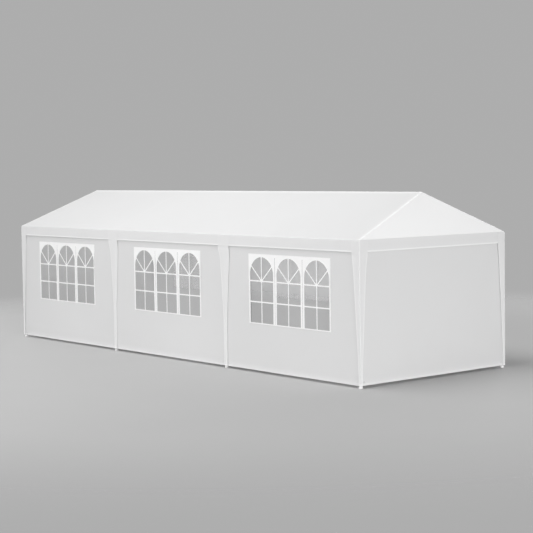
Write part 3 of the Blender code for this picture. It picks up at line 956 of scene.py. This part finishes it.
def saw(outline, point, keep):
    """Keeps the part of an outline on the side of a line through point that keep looks to."""
    kept = []
    reach = (outline - np.array(point)) @ np.array(keep)
    for here in range(len(outline)):
        nxt = (here + 1) % len(outline)
        if reach[here] >= 0:
            kept.append(outline[here])
        if (reach[here] >= 0) != (reach[nxt] >= 0):
            share = reach[here] / (reach[here] - reach[nxt])
            kept.append(outline[here] + share * (outline[nxt] - outline[here]))
    return np.array(kept)


def light_panes():
    """The eight panes of one light: two by two below, and four in the head."""
    half = BAR / 2
    panes = []
    for hand in (-1, 1):
        side = saw(light_outline(), (hand * half, 0), (hand, 0))
        below = saw(side, (0, TRANSOM - half), (0, -1))
        panes.append(saw(below, (0, LOWER_BAR - half), (0, -1)))
        panes.append(saw(below, (0, LOWER_BAR + half), (0, 1)))
        head = saw(side, (0, TRANSOM + half), (0, 1))
        fan = np.array((hand * math.sin(FAN_ANGLE), math.cos(FAN_ANGLE)))
        off = np.array((hand * fan[1], -abs(fan[0])))
        base = np.array((0.0, TRANSOM))
        panes.append(saw(head, base - off * half, -off))
        panes.append(saw(head, base + off * half, off))
    return [p for p in panes if len(p) > 2]


panes_of_a_light = light_panes()
print("panes in a light:", len(panes_of_a_light))

# %% Cut the print round the panes
JOINT_LINE = 0.007


def patch_openings():
    """Outlines of all clear places of a patch, about its middle: panes, and a fine clear line between two lights."""
    openings = []
    for place in (-LIGHT_PITCH, 0.0, LIGHT_PITCH):
        openings += [pane + np.array((place, 0.0)) for pane in panes_of_a_light]
    for place in (-LIGHT_PITCH / 2, LIGHT_PITCH / 2):
        half = JOINT_LINE / 2
        openings.append(np.array([
            (place - half, LIGHT_BOTTOM), (place + half, LIGHT_BOTTOM),
            (place + half, LIGHT_TOP), (place - half, LIGHT_TOP),
        ]))
    return openings


def inside(points, outline):
    """Which points lie in an outline, by counting the edges to their right."""
    x, z = points[:, 0, None], points[:, 1, None]
    x0, z0 = outline[:, 0], outline[:, 1]
    x1, z1 = np.roll(x0, -1), np.roll(z0, -1)
    spans = (z0 > z) != (z1 > z)
    slope = (x1 - x0) / np.where(z1 == z0, 1e-12, z1 - z0)
    crossings = spans & (x < x0 + (z - z0) * slope)
    return crossings.sum(1) % 2 == 1


def print_triangles():
    """Points and triangles of the white print, about the middle of the patch."""
    half = PATCH_WIDTH / 2
    outlines = [np.array([(-half, PATCH_BOTTOM), (half, PATCH_BOTTOM), (half, PATCH_TOP), (-half, PATCH_TOP)])]
    openings = patch_openings()
    outlines += openings
    points, edges = [], []
    for outline in outlines:
        first = len(points)
        points += [Vector(p) for p in outline]
        edges += [(first + i, first + (i + 1) % len(outline)) for i in range(len(outline))]
    for x in np.linspace(-half, half, 25)[1:-1]:
        for z in (PATCH_BOTTOM, PATCH_TOP):
            points.append(Vector((x, z)))
    found = geometry.delaunay_2d_cdt(points, edges, [], 0, 1e-7)
    places = np.array([tuple(p) for p in found[0]])
    triangles = np.array(found[2])
    middles = places[triangles].mean(1)
    clear = np.zeros(len(middles), bool)
    for outline in openings:
        clear |= inside(middles, outline)
    return places, triangles[~clear]


print_places, print_faces = print_triangles()
print("print triangles:", len(print_faces))

# %% Lay film and print into each wall
FILM_OUT = 0.0004
PRINT_OUT = 0.0010


def window_print(name, facing, middle, width, seed):
    out = wall_bulge(print_places[:, 0], print_places[:, 1], width, seed) + PRINT_OUT
    points = on_wall(facing, middle, print_places[:, 0], print_places[:, 1], out)
    mesh = bpy.data.meshes.new(name)
    mesh.from_pydata(points.tolist(), [], print_faces.tolist())
    layer = mesh.uv_layers.new(name="cut")
    layer.data.foreach_set("uv", print_places[print_faces.ravel()].astype(np.float32).ravel())
    return mesh_object(name, mesh, WHITE_INK)


def window_film(name, facing, middle, width, seed, painted_paleness):
    along = np.linspace(-PATCH_WIDTH / 2, PATCH_WIDTH / 2, 47)
    height = np.linspace(PATCH_BOTTOM, PATCH_TOP, 29)
    grid_x, grid_z = np.meshgrid(along, height)
    out = wall_bulge(grid_x, grid_z, width, seed) + FILM_OUT
    points = on_wall(facing, middle, grid_x, grid_z, out)
    flat = np.stack([grid_x, grid_z], axis=-1)
    piece = sew(name, points, flat, np.zeros_like(grid_x), CLEAR_FILM)
    # Painted paleness of the upper panes, scaled per window, standing for light from behind.
    upper = ease(LOWER_BAR, TRANSOM, grid_z)
    cloudy = piece.data.attributes.new("cloudy", "FLOAT", "POINT")
    cloudy.data.foreach_set("value", (painted_paleness * upper).astype(np.float32).ravel())
    return piece


# How much painted paleness the upper panes of each window get; the front right window gets the most.
PAINTED_PALENESS = {"left": 0.25, "middle": 0.15, "right": 1.0}
films, prints = {}, {}
for facing in ("front", "back"):
    for bay in BAYS:
        low, high = WALL_SPANS[bay]
        seed = wall_seeds[f"side_wall_{facing}_{bay}"]
        place = (facing, (low + high) / 2, high - low, seed)
        painted_paleness = PAINTED_PALENESS[bay] if facing == "front" else PAINTED_PALENESS["middle"]
        films[facing, bay] = window_film(f"window_film_{facing}_{bay}", *place, painted_paleness)
        prints[facing, bay] = window_print(f"window_print_{facing}_{bay}", *place)
print("windows:", len(films))

# %% [markdown]
# ## Stitches
#
# Every hem and every window patch is held by a row of machine stitches. They are laid by Geometry Nodes: a seam line
# becomes a curve, the curve is divided evenly, and a small grain of thread is set on each point along the seam. A
# grain has only twenty faces, because there are thousands of them.

# %% A tree that sews along lines
def group_input(tree, name, kind, value=None):
    socket = tree.interface.new_socket(name, in_out="INPUT", socket_type=kind)
    if value is not None:
        socket.default_value = value
    return socket


def stitching_tree():
    tree = bpy.data.node_groups.new("row_of_stitches", "GeometryNodeTree")
    bench = Bench(tree)
    group_input(tree, "Seam", "NodeSocketGeometry")
    group_input(tree, "Spacing", "NodeSocketFloat", 0.010)
    group_input(tree, "Stitch Length", "NodeSocketFloat", 0.0068)
    group_input(tree, "Thread Width", "NodeSocketFloat", 0.0013)
    tree.interface.new_socket("Stitches", in_out="OUTPUT", socket_type="NodeSocketGeometry")
    given = bench.make("NodeGroupInput")
    line = bench.make("GeometryNodeMeshToCurve", None, {"Mesh": given.output("Seam")})
    even = bench.make("GeometryNodeResampleCurve", {"mode": "LENGTH"}, {
        "Curve": line, "Length": given.output("Spacing"),
    })
    heading = bench.make("FunctionNodeAlignRotationToVector", {"axis": "X"}, {
        "Vector": bench.make("GeometryNodeInputTangent"),
    })
    grain = bench.make("GeometryNodeMeshIcoSphere", None, {"Radius": 0.5, "Subdivisions": 1})
    size = bench.make("ShaderNodeCombineXYZ", None, {
        0: given.output("Stitch Length"), 1: given.output("Thread Width"), 2: given.output("Thread Width"),
    })
    sewn = bench.make("GeometryNodeInstanceOnPoints", None, {
        "Points": even, "Instance": grain, "Rotation": heading, "Scale": size,
    })
    solid = bench.make("GeometryNodeRealizeInstances", None, {"Geometry": sewn})
    dressed = bench.make("GeometryNodeSetMaterial", None, {"Geometry": solid, "Material": THREAD})
    bench.make("NodeGroupOutput", None, {"Stitches": dressed})
    return tree


STITCHING = stitching_tree()


def grown(name, base_mesh, tree, values, material):
    """Runs a node tree on a mesh and keeps its result as a plain mesh object at the origin."""
    start = bpy.data.objects.new(name + "_lines", base_mesh)
    bpy.context.scene.collection.objects.link(start)
    modifier = start.modifiers.new("grow", "NODES")
    modifier.node_group = tree
    for socket in tree.interface.items_tree:
        if socket.item_type == "SOCKET" and socket.in_out == "INPUT" and socket.name in values:
            modifier[socket.identifier] = values[socket.name]
    settled = start.evaluated_get(bpy.context.evaluated_depsgraph_get())
    mesh = bpy.data.meshes.new_from_object(settled)
    start.modifiers.remove(modifier)
    bpy.data.objects.remove(start)
    mesh.name = name
    if material.name not in mesh.materials:
        mesh.materials.append(material)
    piece = bpy.data.objects.new(name, mesh)
    bpy.context.scene.collection.objects.link(piece)
    return piece


def seam_mesh(name, lines):
    """Polylines as one mesh of edges."""
    points, edges = [], []
    for line in lines:
        first = len(points)
        points += [tuple(p) for p in line]
        edges += [(first + i, first + i + 1) for i in range(len(line) - 1)]
    mesh = bpy.data.meshes.new(name)
    mesh.from_pydata(points, edges, [])
    return mesh


print("stitching tree:", len(STITCHING.nodes), "nodes")

# %% Sew the walls
THREAD_LIFT = 0.0004


def wall_seams(facing, middle, width, seed, window):
    """Lines of stitches on one wall: both sides, bottom and top hems, and round the window patch."""
    def line(along, height, lift):
        along, height = np.broadcast_arrays(np.asarray(along, float), np.asarray(height, float))
        out = wall_bulge(along, height, width, seed) - WALL_SKIN + lift
        return on_wall(facing, middle, along, height, out)

    edge = width / 2 - WALL_HEM + 0.005
    across = np.linspace(-edge, edge, 60)
    rise = np.linspace(WALL_BOTTOM + 0.004, WALL_TOP - 0.004, 45)
    seams = [line(-edge, rise, THREAD_LIFT), line(edge, rise, THREAD_LIFT)]
    seams += [line(across, WALL_BOTTOM + WALL_HEM - 0.005, THREAD_LIFT), line(across, WALL_TOP - 0.022, THREAD_LIFT)]
    if window:
        half, low, high = PATCH_WIDTH / 2 - 0.007, PATCH_BOTTOM + 0.007, PATCH_TOP - 0.007
        lift = WALL_SKIN + PRINT_OUT + THREAD_LIFT
        patch_across, patch_rise = np.linspace(-half, half, 40), np.linspace(low, high, 24)
        seams += [line(patch_across, low, lift), line(patch_across, high, lift)]
        seams += [line(-half, patch_rise, lift), line(half, patch_rise, lift)]
    return seams


wall_stitches = {}
for name in walls:
    if name.startswith("side_wall"):
        facing, bay = name.split("_")[2:]
        low, high = WALL_SPANS[bay]
        lines = wall_seams(facing, (low + high) / 2, high - low, wall_seeds[name], True)
    else:
        lines = wall_seams(name.split("_")[2], 0.0, END_WALL_WIDTH, wall_seeds[name], False)
    wall_stitches[name] = grown(name + "_stitches", seam_mesh(name + "_seams", lines), STITCHING, {}, THREAD)
print("wall stitch faces:", sum(len(s.data.polygons) for s in wall_stitches.values()))

# %% [markdown]
# ## Stitches on the cover and the drapes
#
# The cover is sewn at the hem, under the eave where the valance joins on, up the four rakes and over the two rafters
# that stand between the bays. The drapes have a row of stitches along each side and across the foot. The same tree
# lays them all, so only the seam lines differ.

# %% Sew the cover
def valance_line(height):
    """A line round the valance at one height, on the outer face of the waving cloth."""
    reach = HALF_WIDTH - SKIN + THREAD_LIFT
    flat, blocks = ring(HALF_LENGTH - SKIN + THREAD_LIFT, reach, RAKE_BEND)
    line = np.column_stack([flat, np.full(len(flat), height)])[None]
    return shape_cover(np.concatenate([line, line[:, :1]], axis=1), np.append(blocks, 0))[0]


def slope_line(side, along_at):
    """A line up one slope, from the eave to the ridge, at the place along X that along_at gives."""
    half_width = np.linspace(HALF_WIDTH - 0.03, 0.03, 40)
    height = RIDGE_HEIGHT - SKIN + THREAD_LIFT - half_width * math.tan(SLOPE)
    line = np.column_stack([along_at(half_width, height), side * half_width, height])[None]
    return shape_cover(line, np.zeros(len(half_width)))[0]


RAKE_SEAM_IN = 0.006
PANEL_LAP = 0.012
cover_seams = [valance_line(VALANCE_BOTTOM + HEM_DEPTH - 0.003), valance_line(EAVE_HEIGHT - 0.022)]
slope_seams = []
for side in (FRONT, BACK):
    for end in (LEFT, RIGHT):
        slope_seams.append(slope_line(side, lambda w, h: end * (half_length_at(w, h) - RAKE_BEND - RAKE_SEAM_IN)))
        for lap in (-PANEL_LAP, PANEL_LAP):
            slope_seams.append(slope_line(side, lambda w, h: np.full(len(w), end * MIDDLE_LEG_X + lap)))
cover_stitches = [
    grown("valance_stitches", seam_mesh("valance_seams", cover_seams), STITCHING, {}, THREAD),
    grown("slope_stitches", seam_mesh("slope_seams", slope_seams), STITCHING, {}, THREAD),
]
print("cover stitch faces:", sum(len(s.data.polygons) for s in cover_stitches))


# %% Sew the drapes
def drape_seams(drape):
    """Stitch lines on a drape: its second column from each side, and the row of the foot hem, lifted outwards."""
    mesh = drape.data
    columns = int(mesh["columns"])
    places = np.empty(len(mesh.vertices) * 3)
    mesh.vertices.foreach_get("co", places)
    grid = places.reshape(-1, columns, 3)
    out = np.zeros((len(mesh.vertices), 3))
    for number, vertex in enumerate(mesh.vertices):
        out[number] = vertex.normal
    grid = grid + out.reshape(grid.shape) * THREAD_LIFT
    return [grid[:, 2], grid[:, -3], grid[3]]


drape_stitches = {}
for drape in [*middle_drapes.values(), *corner_drapes.values()]:
    seams = seam_mesh(drape.name + "_seams", drape_seams(drape))
    drape_stitches[drape.name] = grown(drape.name + "_stitches", seams, STITCHING, {}, THREAD)
print("drape stitch faces:", sum(len(s.data.polygons) for s in drape_stitches.values()))

# %% [markdown]
# ## Rail straps
#
# A wall hangs from its rail by short bands of webbing that close round the tube with hook and loop. They show from
# inside and through the windows. Each is a ring round the rail and a tail sewn to the wall, so one band is made from
# a circle, a small rectangle and a thin box, and set along every wall top, turned so that its tail lies on the wall.

# %% A tree that hangs straps
STRAP_WIDTH = 0.025
STRAP_THICKNESS = 0.0012
TAIL_LENGTH = 0.050
RAIL_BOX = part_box("end_rail_right")
RAIL_LOW, RAIL_HIGH = RAIL_BOX
RAIL_HEIGHT = (RAIL_LOW.z + RAIL_HIGH.z) / 2
RAIL_RADIUS = (RAIL_HIGH.z - RAIL_LOW.z) / 2


def strap_tree():
    tree = bpy.data.node_groups.new("row_of_straps", "GeometryNodeTree")
    bench = Bench(tree)
    group_input(tree, "Places", "NodeSocketGeometry")
    group_input(tree, "Ring Radius", "NodeSocketFloat", 0.016)
    group_input(tree, "Strap Width", "NodeSocketFloat", 0.025)
    group_input(tree, "Strap Thickness", "NodeSocketFloat", 0.0012)
    group_input(tree, "Tail Length", "NodeSocketFloat", 0.050)
    tree.interface.new_socket("Straps", in_out="OUTPUT", socket_type="NodeSocketGeometry")
    given = bench.make("NodeGroupInput")
    radius, width = given.output("Ring Radius"), given.output("Strap Width")
    thickness, tail_length = given.output("Strap Thickness"), given.output("Tail Length")
    ring_line = bench.make("GeometryNodeCurvePrimitiveCircle", None, {"Resolution": 20, "Radius": radius})
    section = bench.make("GeometryNodeCurvePrimitiveQuadrilateral", None, {"Width": thickness, "Height": width})
    band = bench.make("GeometryNodeCurveToMesh", None, {"Curve": ring_line, "Profile Curve": section})
    upright = bench.make("GeometryNodeTransform", None, {"Geometry": band, "Rotation": (0.0, math.pi / 2, 0.0)})
    tail = bench.make("GeometryNodeMeshCube", None, {
        "Size": bench.make("ShaderNodeCombineXYZ", None, {0: width, 1: thickness, 2: tail_length}),
    })
    lowered = bench.make("GeometryNodeTransform", None, {
        "Geometry": tail,
        "Translation": bench.make("ShaderNodeCombineXYZ", None, {0: 0.0, 1: -1.0 * radius, 2: -0.5 * tail_length}),
    })
    parts = bench.make("GeometryNodeJoinGeometry")
    strap = parts.socket.node
    tree.links.new(upright.socket, strap.inputs[0])
    tree.links.new(lowered.socket, strap.inputs[0])
    points = bench.make("GeometryNodeMeshToPoints", None, {"Mesh": given.output("Places")})
    turn = bench.make("GeometryNodeInputNamedAttribute", {"data_type": "FLOAT"}, {"Name": "turn"})
    hung = bench.make("GeometryNodeInstanceOnPoints", None, {
        "Points": points, "Instance": parts,
        "Rotation": bench.make("ShaderNodeCombineXYZ", None, {0: 0.0, 1: 0.0, 2: turn}),
    })
    solid = bench.make("GeometryNodeRealizeInstances", None, {"Geometry": hung})
    dressed = bench.make("GeometryNodeSetMaterial", None, {"Geometry": solid, "Material": WEBBING})
    bench.make("NodeGroupOutput", None, {"Straps": dressed})
    return tree


def points_mesh(name, places, turns):
    """Loose points that carry how far each small part is turned about the upright."""
    mesh = bpy.data.meshes.new(name)
    mesh.from_pydata([tuple(p) for p in places], [], [])
    turn = mesh.attributes.new("turn", "FLOAT", "POINT")
    turn.data.foreach_set("value", np.array(turns, np.float32))
    return mesh


TURNS = {"front": 0.0, "right": math.pi / 2, "back": math.pi, "left": -math.pi / 2}
STRAPS = strap_tree()
strap_pieces = {}
for name in walls:
    facing = name.split("_")[2]
    if facing in SIDE_NAMES.values():
        low, high = WALL_SPANS[name.split("_")[3]]
        middle, steps = (low + high) / 2, np.linspace(-1.2, 1.2, 6)
        rail_in = WALL_FACE_Y - LEG_LINE_Y
    else:
        middle, steps = 0.0, np.linspace(-1.05, 1.05, 5)
        rail_in = WALL_FACE_X - LEG_LINE_X
    places = on_wall(facing, middle, steps, np.full(len(steps), RAIL_HEIGHT), np.full(len(steps), -rail_in))
    mesh = points_mesh(name + "_strap_places", places, [TURNS[facing]] * len(steps))
    strap_pieces[name] = grown(name + "_straps", mesh, STRAPS, {
        "Ring Radius": RAIL_RADIUS + STRAP_THICKNESS, "Strap Width": STRAP_WIDTH,
        "Strap Thickness": STRAP_THICKNESS, "Tail Length": TAIL_LENGTH,
    }, WEBBING)
print("rail at", round(RAIL_HEIGHT, 4), "radius", round(RAIL_RADIUS, 4), "strap pieces:", len(strap_pieces))

# %% [markdown]
# ## Eyelets and ties
#
# Each wall has a metal eyelet in both bottom corners, and a short tie goes through it and round the leg so the wind
# doesn't lift the hem. The eyelet is a round bead swept along a circle. The tie is a closed loop of cord, drawn tight
# round the tube, so it follows the outline that a rubber band would take.

# %% Trees that sweep rings and cords
EYELET_RADIUS = 0.0085
EYELET_BEAD = 0.0022
EYELET_IN = 0.062
EYELET_RISE = 0.048
TIE_RADIUS = 0.0020
LEG_RADIUS = 0.016


def sweep_tree(name, material, sides):
    """Sweeps a round section along every line of a mesh."""
    tree = bpy.data.node_groups.new(name, "GeometryNodeTree")
    bench = Bench(tree)
    group_input(tree, "Lines", "NodeSocketGeometry")
    group_input(tree, "Radius", "NodeSocketFloat", 0.002)
    tree.interface.new_socket("Swept", in_out="OUTPUT", socket_type="NodeSocketGeometry")
    given = bench.make("NodeGroupInput")
    line = bench.make("GeometryNodeMeshToCurve", None, {"Mesh": given.output("Lines")})
    section = bench.make("GeometryNodeCurvePrimitiveCircle", None, {
        "Resolution": sides, "Radius": given.output("Radius"),
    })
    swept = bench.make("GeometryNodeCurveToMesh", None, {"Curve": line, "Profile Curve": section})
    smooth = bench.make("GeometryNodeSetShadeSmooth", None, {"Geometry": swept})
    solid = bench.make("GeometryNodeRealizeInstances", None, {"Geometry": smooth})
    dressed = bench.make("GeometryNodeSetMaterial", None, {"Geometry": solid, "Material": material})
    bench.make("NodeGroupOutput", None, {"Swept": dressed})
    return tree


def loops_mesh(name, loops):
    """Closed polylines as one mesh of edges."""
    points, edges = [], []
    for loop in loops:
        first = len(points)
        points += [tuple(p) for p in loop]
        edges += [(first + i, first + (i + 1) % len(loop)) for i in range(len(loop))]
    mesh = bpy.data.meshes.new(name)
    mesh.from_pydata(points, edges, [])
    return mesh


def eyelet_loop(facing, middle, along, height, out):
    turn = np.linspace(0.0, 2.0 * math.pi, 21)[:-1]
    return on_wall(facing, middle, along + EYELET_RADIUS * np.cos(turn), height + EYELET_RADIUS * np.sin(turn), out)


def tie_loop(facing, middle, along, leg_along, height, leg_out):
    """Round the far side of the leg, out to the eyelet and back: along the wall and outwards, a little uneven."""
    hand = np.sign(leg_along - along)
    radius = LEG_RADIUS + TIE_RADIUS
    around = np.radians(np.linspace(-95.0, 95.0, 13))
    loop_along = np.concatenate([leg_along + hand * radius * np.cos(around), [along - hand * 0.002, along - hand * 0.004,
                                                                            along - hand * 0.002]])
    loop_out = np.concatenate([leg_out + radius * np.sin(around), [0.0042, 0.0, -0.006]])
    rise = 0.006 * np.sin(np.linspace(0.0, 2.0 * math.pi, len(loop_along), endpoint=False))
    return on_wall(facing, middle, loop_along, height + rise, loop_out)


EYELETS = sweep_tree("row_of_eyelets", EYELET_METAL, 8)
TIES = sweep_tree("row_of_ties", WEBBING, 6)
eyelet_pieces, tie_pieces = {}, {}
for name in walls:
    facing = name.split("_")[2]
    if facing in SIDE_NAMES.values():
        bay = name.split("_")[3]
        low, high = WALL_SPANS[bay]
        middle, width = (low + high) / 2, high - low
        legs = {"left": (-LEG_LINE_X, -MIDDLE_LEG_X), "middle": (-MIDDLE_LEG_X, MIDDLE_LEG_X),
                "right": (MIDDLE_LEG_X, LEG_LINE_X)}[bay]
        turned = 1.0 if facing == "front" else -1.0
        legs = sorted(turned * (leg - middle) for leg in legs)
        leg_out = LEG_LINE_Y - WALL_FACE_Y
    else:
        middle, width = 0.0, END_WALL_WIDTH
        legs = (-LEG_LINE_Y, LEG_LINE_Y)
        leg_out = LEG_LINE_X - WALL_FACE_X
    rings, loops = [], []
    for hand, leg in zip((-1, 1), legs):
        along, height = hand * (width / 2 - EYELET_IN), WALL_BOTTOM + EYELET_RISE
        out = float(wall_bulge(np.array(along), np.array(height), width, wall_seeds[name]))
        rings.append(eyelet_loop(facing, middle, along, height, out))
        loops.append(tie_loop(facing, middle, along, leg, height, leg_out))
    eyelet_pieces[name] = grown(
        name + "_eyelets", loops_mesh(name + "_eyelet_rings", rings), EYELETS, {"Radius": EYELET_BEAD}, EYELET_METAL
    )
    tie_pieces[name] = grown(
        name + "_ties", loops_mesh(name + "_tie_loops", loops), TIES, {"Radius": TIE_RADIUS}, WEBBING
    )
print("eyelet pieces:", len(eyelet_pieces), "tie pieces:", len(tie_pieces))

# %% [markdown]
# ## The studio floor
#
# The tent stands on a plain pale floor: one disc of one even shade with a faint grain, which fades into the backdrop
# well away from the tent. Nothing is painted on it, so every light and dark part on it comes from the lights. It is a
# part of the studio and not of the tent.

# %% Lay the floor
FLOOR_RADIUS = 60.0
FLOOR_SHADE = 0.43
FADE_START = 7.5
FADE_END = 13.0

floor_mesh = bpy.data.meshes.new("studio_floor")
shape = bmesh.new()
bmesh.ops.create_circle(shape, cap_ends=True, segments=96, radius=FLOOR_RADIUS)
shape.to_mesh(floor_mesh)
shape.free()
floor_paint, bench = new_finish("pale_floor")
place = bench.make("ShaderNodeTexCoord").output("Object")
apart = bench.make("ShaderNodeSeparateXYZ", None, {0: place})
x, y = apart.output("X"), apart.output("Y")
distance = (x * x + y * y) ** 0.5
grain = bench.make("ShaderNodeTexNoise", None, {"Vector": place, "Scale": 0.6, "Detail": 3.0})
shade = FLOOR_SHADE + 0.01 * grain
colour = bench.make("ShaderNodeCombineColor", None, {0: shade, 1: shade, 2: shade})
ground = bench.make("ShaderNodeBsdfPrincipled", None, {
    "Base Color": colour, "Roughness": 0.9, "Specular IOR Level": 0.1,
})
clear = bench.make("ShaderNodeBsdfTransparent")
fade = bench.make("ShaderNodeMapRange", {"interpolation_type": "SMOOTHSTEP"}, {
    "Value": distance, "From Min": FADE_START, "From Max": FADE_END, "To Min": 0.0, "To Max": 1.0,
})
bench.make("ShaderNodeOutputMaterial", None, {
    "Surface": bench.make("ShaderNodeMixShader", None, {0: fade, 1: ground, 2: clear}),
})
floor = mesh_object("studio_floor", floor_mesh, floor_paint)
floor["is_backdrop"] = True
print("floor of one shade:", FLOOR_SHADE)

# %% [markdown]
# ## The studio light
#
# Big soft boxes stand in front, above, at both ends and behind, so no shadow has an edge. Behind the tent the camera
# sees one even grey, the same from every side, which gives no light to the tent.

# %% Set up the light
BACKDROP_GREY = 0.42
AMBIENT = 0.25
OVERHEAD_POWER = 1400.0
FRONT_POWER = 2050.0
END_POWER = 1450.0
END_HIGH_POWER = 250.0
BACK_POWER = 2050.0
LEFT_POWER = 1450.0

world = bpy.data.worlds.new("studio")
world.use_nodes = True
bpy.context.scene.world = world
bench = Bench(world.node_tree)
seen = bench.make("ShaderNodeBackground", None, {
    "Color": (BACKDROP_GREY, BACKDROP_GREY, BACKDROP_GREY), "Strength": 1.0,
})
lit = bench.make("ShaderNodeBackground", None, {"Color": (1.0, 1.0, 1.0), "Strength": AMBIENT})
is_seen = bench.make("ShaderNodeLightPath").output("Is Camera Ray")
bench.make("ShaderNodeOutputWorld", None, {
    "Surface": bench.make("ShaderNodeMixShader", None, {0: is_seen, 1: lit, 2: seen}),
})


def soft_light(name, place, target, size, power):
    lamp = bpy.data.lights.new(name, "AREA")
    lamp.shape = "RECTANGLE"
    lamp.size, lamp.size_y = size
    lamp.energy = power
    piece = bpy.data.objects.new(name, lamp)
    bpy.context.scene.collection.objects.link(piece)
    aim = (Vector(target) - Vector(place)).to_track_quat("-Z", "Y")
    piece.matrix_world = Matrix.Translation(Vector(place)) @ aim.to_matrix().to_4x4()
    piece.visible_camera = False
    return piece


soft_light("overhead_softbox", (-0.6, -5.0, 13.0), (0.0, 0.0, 2.0), (14.0, 8.0), OVERHEAD_POWER)
soft_light("front_softbox", (0.5, -20.0, 6.0), (0.0, 0.0, 1.2), (14.0, 6.0), FRONT_POWER)
soft_light("end_softbox", (19.0, -1.5, 1.1), (4.5, 0.0, 1.3), (9.0, 2.0), END_POWER)
soft_light("end_high_softbox", (15.0, -1.0, 11.0), (4.5, 0.0, 1.5), (8.0, 5.0), END_HIGH_POWER)
soft_light("back_softbox", (-3.0, 20.0, 6.0), (-0.3, 0.0, 1.2), (14.0, 6.0), BACK_POWER)
soft_light("left_softbox", (-19.0, 1.5, 1.8), (-4.5, 0.0, 1.3), (9.0, 3.0), LEFT_POWER)
bpy.context.scene.view_settings.view_transform = "Standard"

# %% [markdown]
# ## What stands for what
#
# Each sewn piece takes the place of the plain solids that it was cut after, and these solids are hidden. The
# prints, stitches, straps, eyelets and ties are new. The pieces are listed by the finish of the record that they
# belong to, and that list is used only to hang them on the root. A tent has no moving body, so all of it rides on the
# root.

# %% Hide the solids that are stood in for, and hang the pieces on the root
for bay in BAYS:
    for facing in ("front", "back"):
        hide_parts(f"wall_{facing}_{bay}")
        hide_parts(f"window_{facing}_{bay}")
for facing in ("left", "right"):
    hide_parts(f"wall_{facing}")
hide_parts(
    "roof_slope_front", "roof_slope_back", "gable_left", "gable_right",
    "valance_front", "valance_back", "valance_left", "valance_right",
)
for (side, end), drape in middle_drapes.items():
    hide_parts(f"middle_drape_{SIDE_NAMES[side]}_{END_NAMES[end]}")
for (side, end), drape in corner_drapes.items():
    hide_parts(f"corner_drape_{SIDE_NAMES[side]}_{END_NAMES[end]}")
drapes = [*middle_drapes.values(), *corner_drapes.values()]
slots = {
    "roof_fabric": [roof_cover, *cover_stitches],
    "drape_fabric": [*drapes, *drape_stitches.values()],
    "wall_fabric": [*walls.values(), *wall_stitches.values(), *strap_pieces.values(), *tie_pieces.values()],
    "window_film": [*films.values(), *prints.values()],
    "frame_paint": [*eyelet_pieces.values()],
}
for slot_name, pieces in slots.items():
    for piece in pieces:
        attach(piece, "root")
print("pieces on the root:", sum(len(pieces) for pieces in slots.values()))

# %% [markdown]
# ## How the cover and the walls were cut
#
# The flat sizes come from the same measures as the shapes. The area of the cover is worked out from its two slopes,
# gables and valance opened out, and each wall's width and length are printed. The tapering strips of the drapes get
# no flat size here.

# %% Say how each wall was cut
slope_run = math.hypot(HALF_WIDTH, RIDGE_HEIGHT - EAVE_HEIGHT)
gable_run = math.hypot(HALF_LENGTH - RIDGE_HALF_LENGTH, RIDGE_HEIGHT - EAVE_HEIGHT)
valance_run = EAVE_HEIGHT - VALANCE_BOTTOM + HEM_DEPTH
cover_area = 2 * slope_run * (HALF_LENGTH + RIDGE_HALF_LENGTH) + 2 * gable_run * HALF_WIDTH
cover_area += 4 * (HALF_LENGTH + HALF_WIDTH) * valance_run


wall_length = WALL_TOP - WALL_BOTTOM + WALL_HEM
hole_area = (PATCH_WIDTH - 2 * PATCH_LAP) * (PATCH_TOP - PATCH_BOTTOM - 2 * PATCH_LAP)
for name, wall in walls.items():
    facing = name.split("_")[2]
    side_wall = facing in SIDE_NAMES.values()
    low, high = WALL_SPANS[name.split("_")[3]] if side_wall else (0.0, END_WALL_WIDTH)
    high - low
    (high - low) * wall_length - (hole_area if side_wall else 0.0)
    print(name, "cut:", round(high - low, 3), round(wall_length, 3))

# %% Measure the whole
low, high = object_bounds()
print("visual box:", [round(v, 3) for v in (*low, *high)])
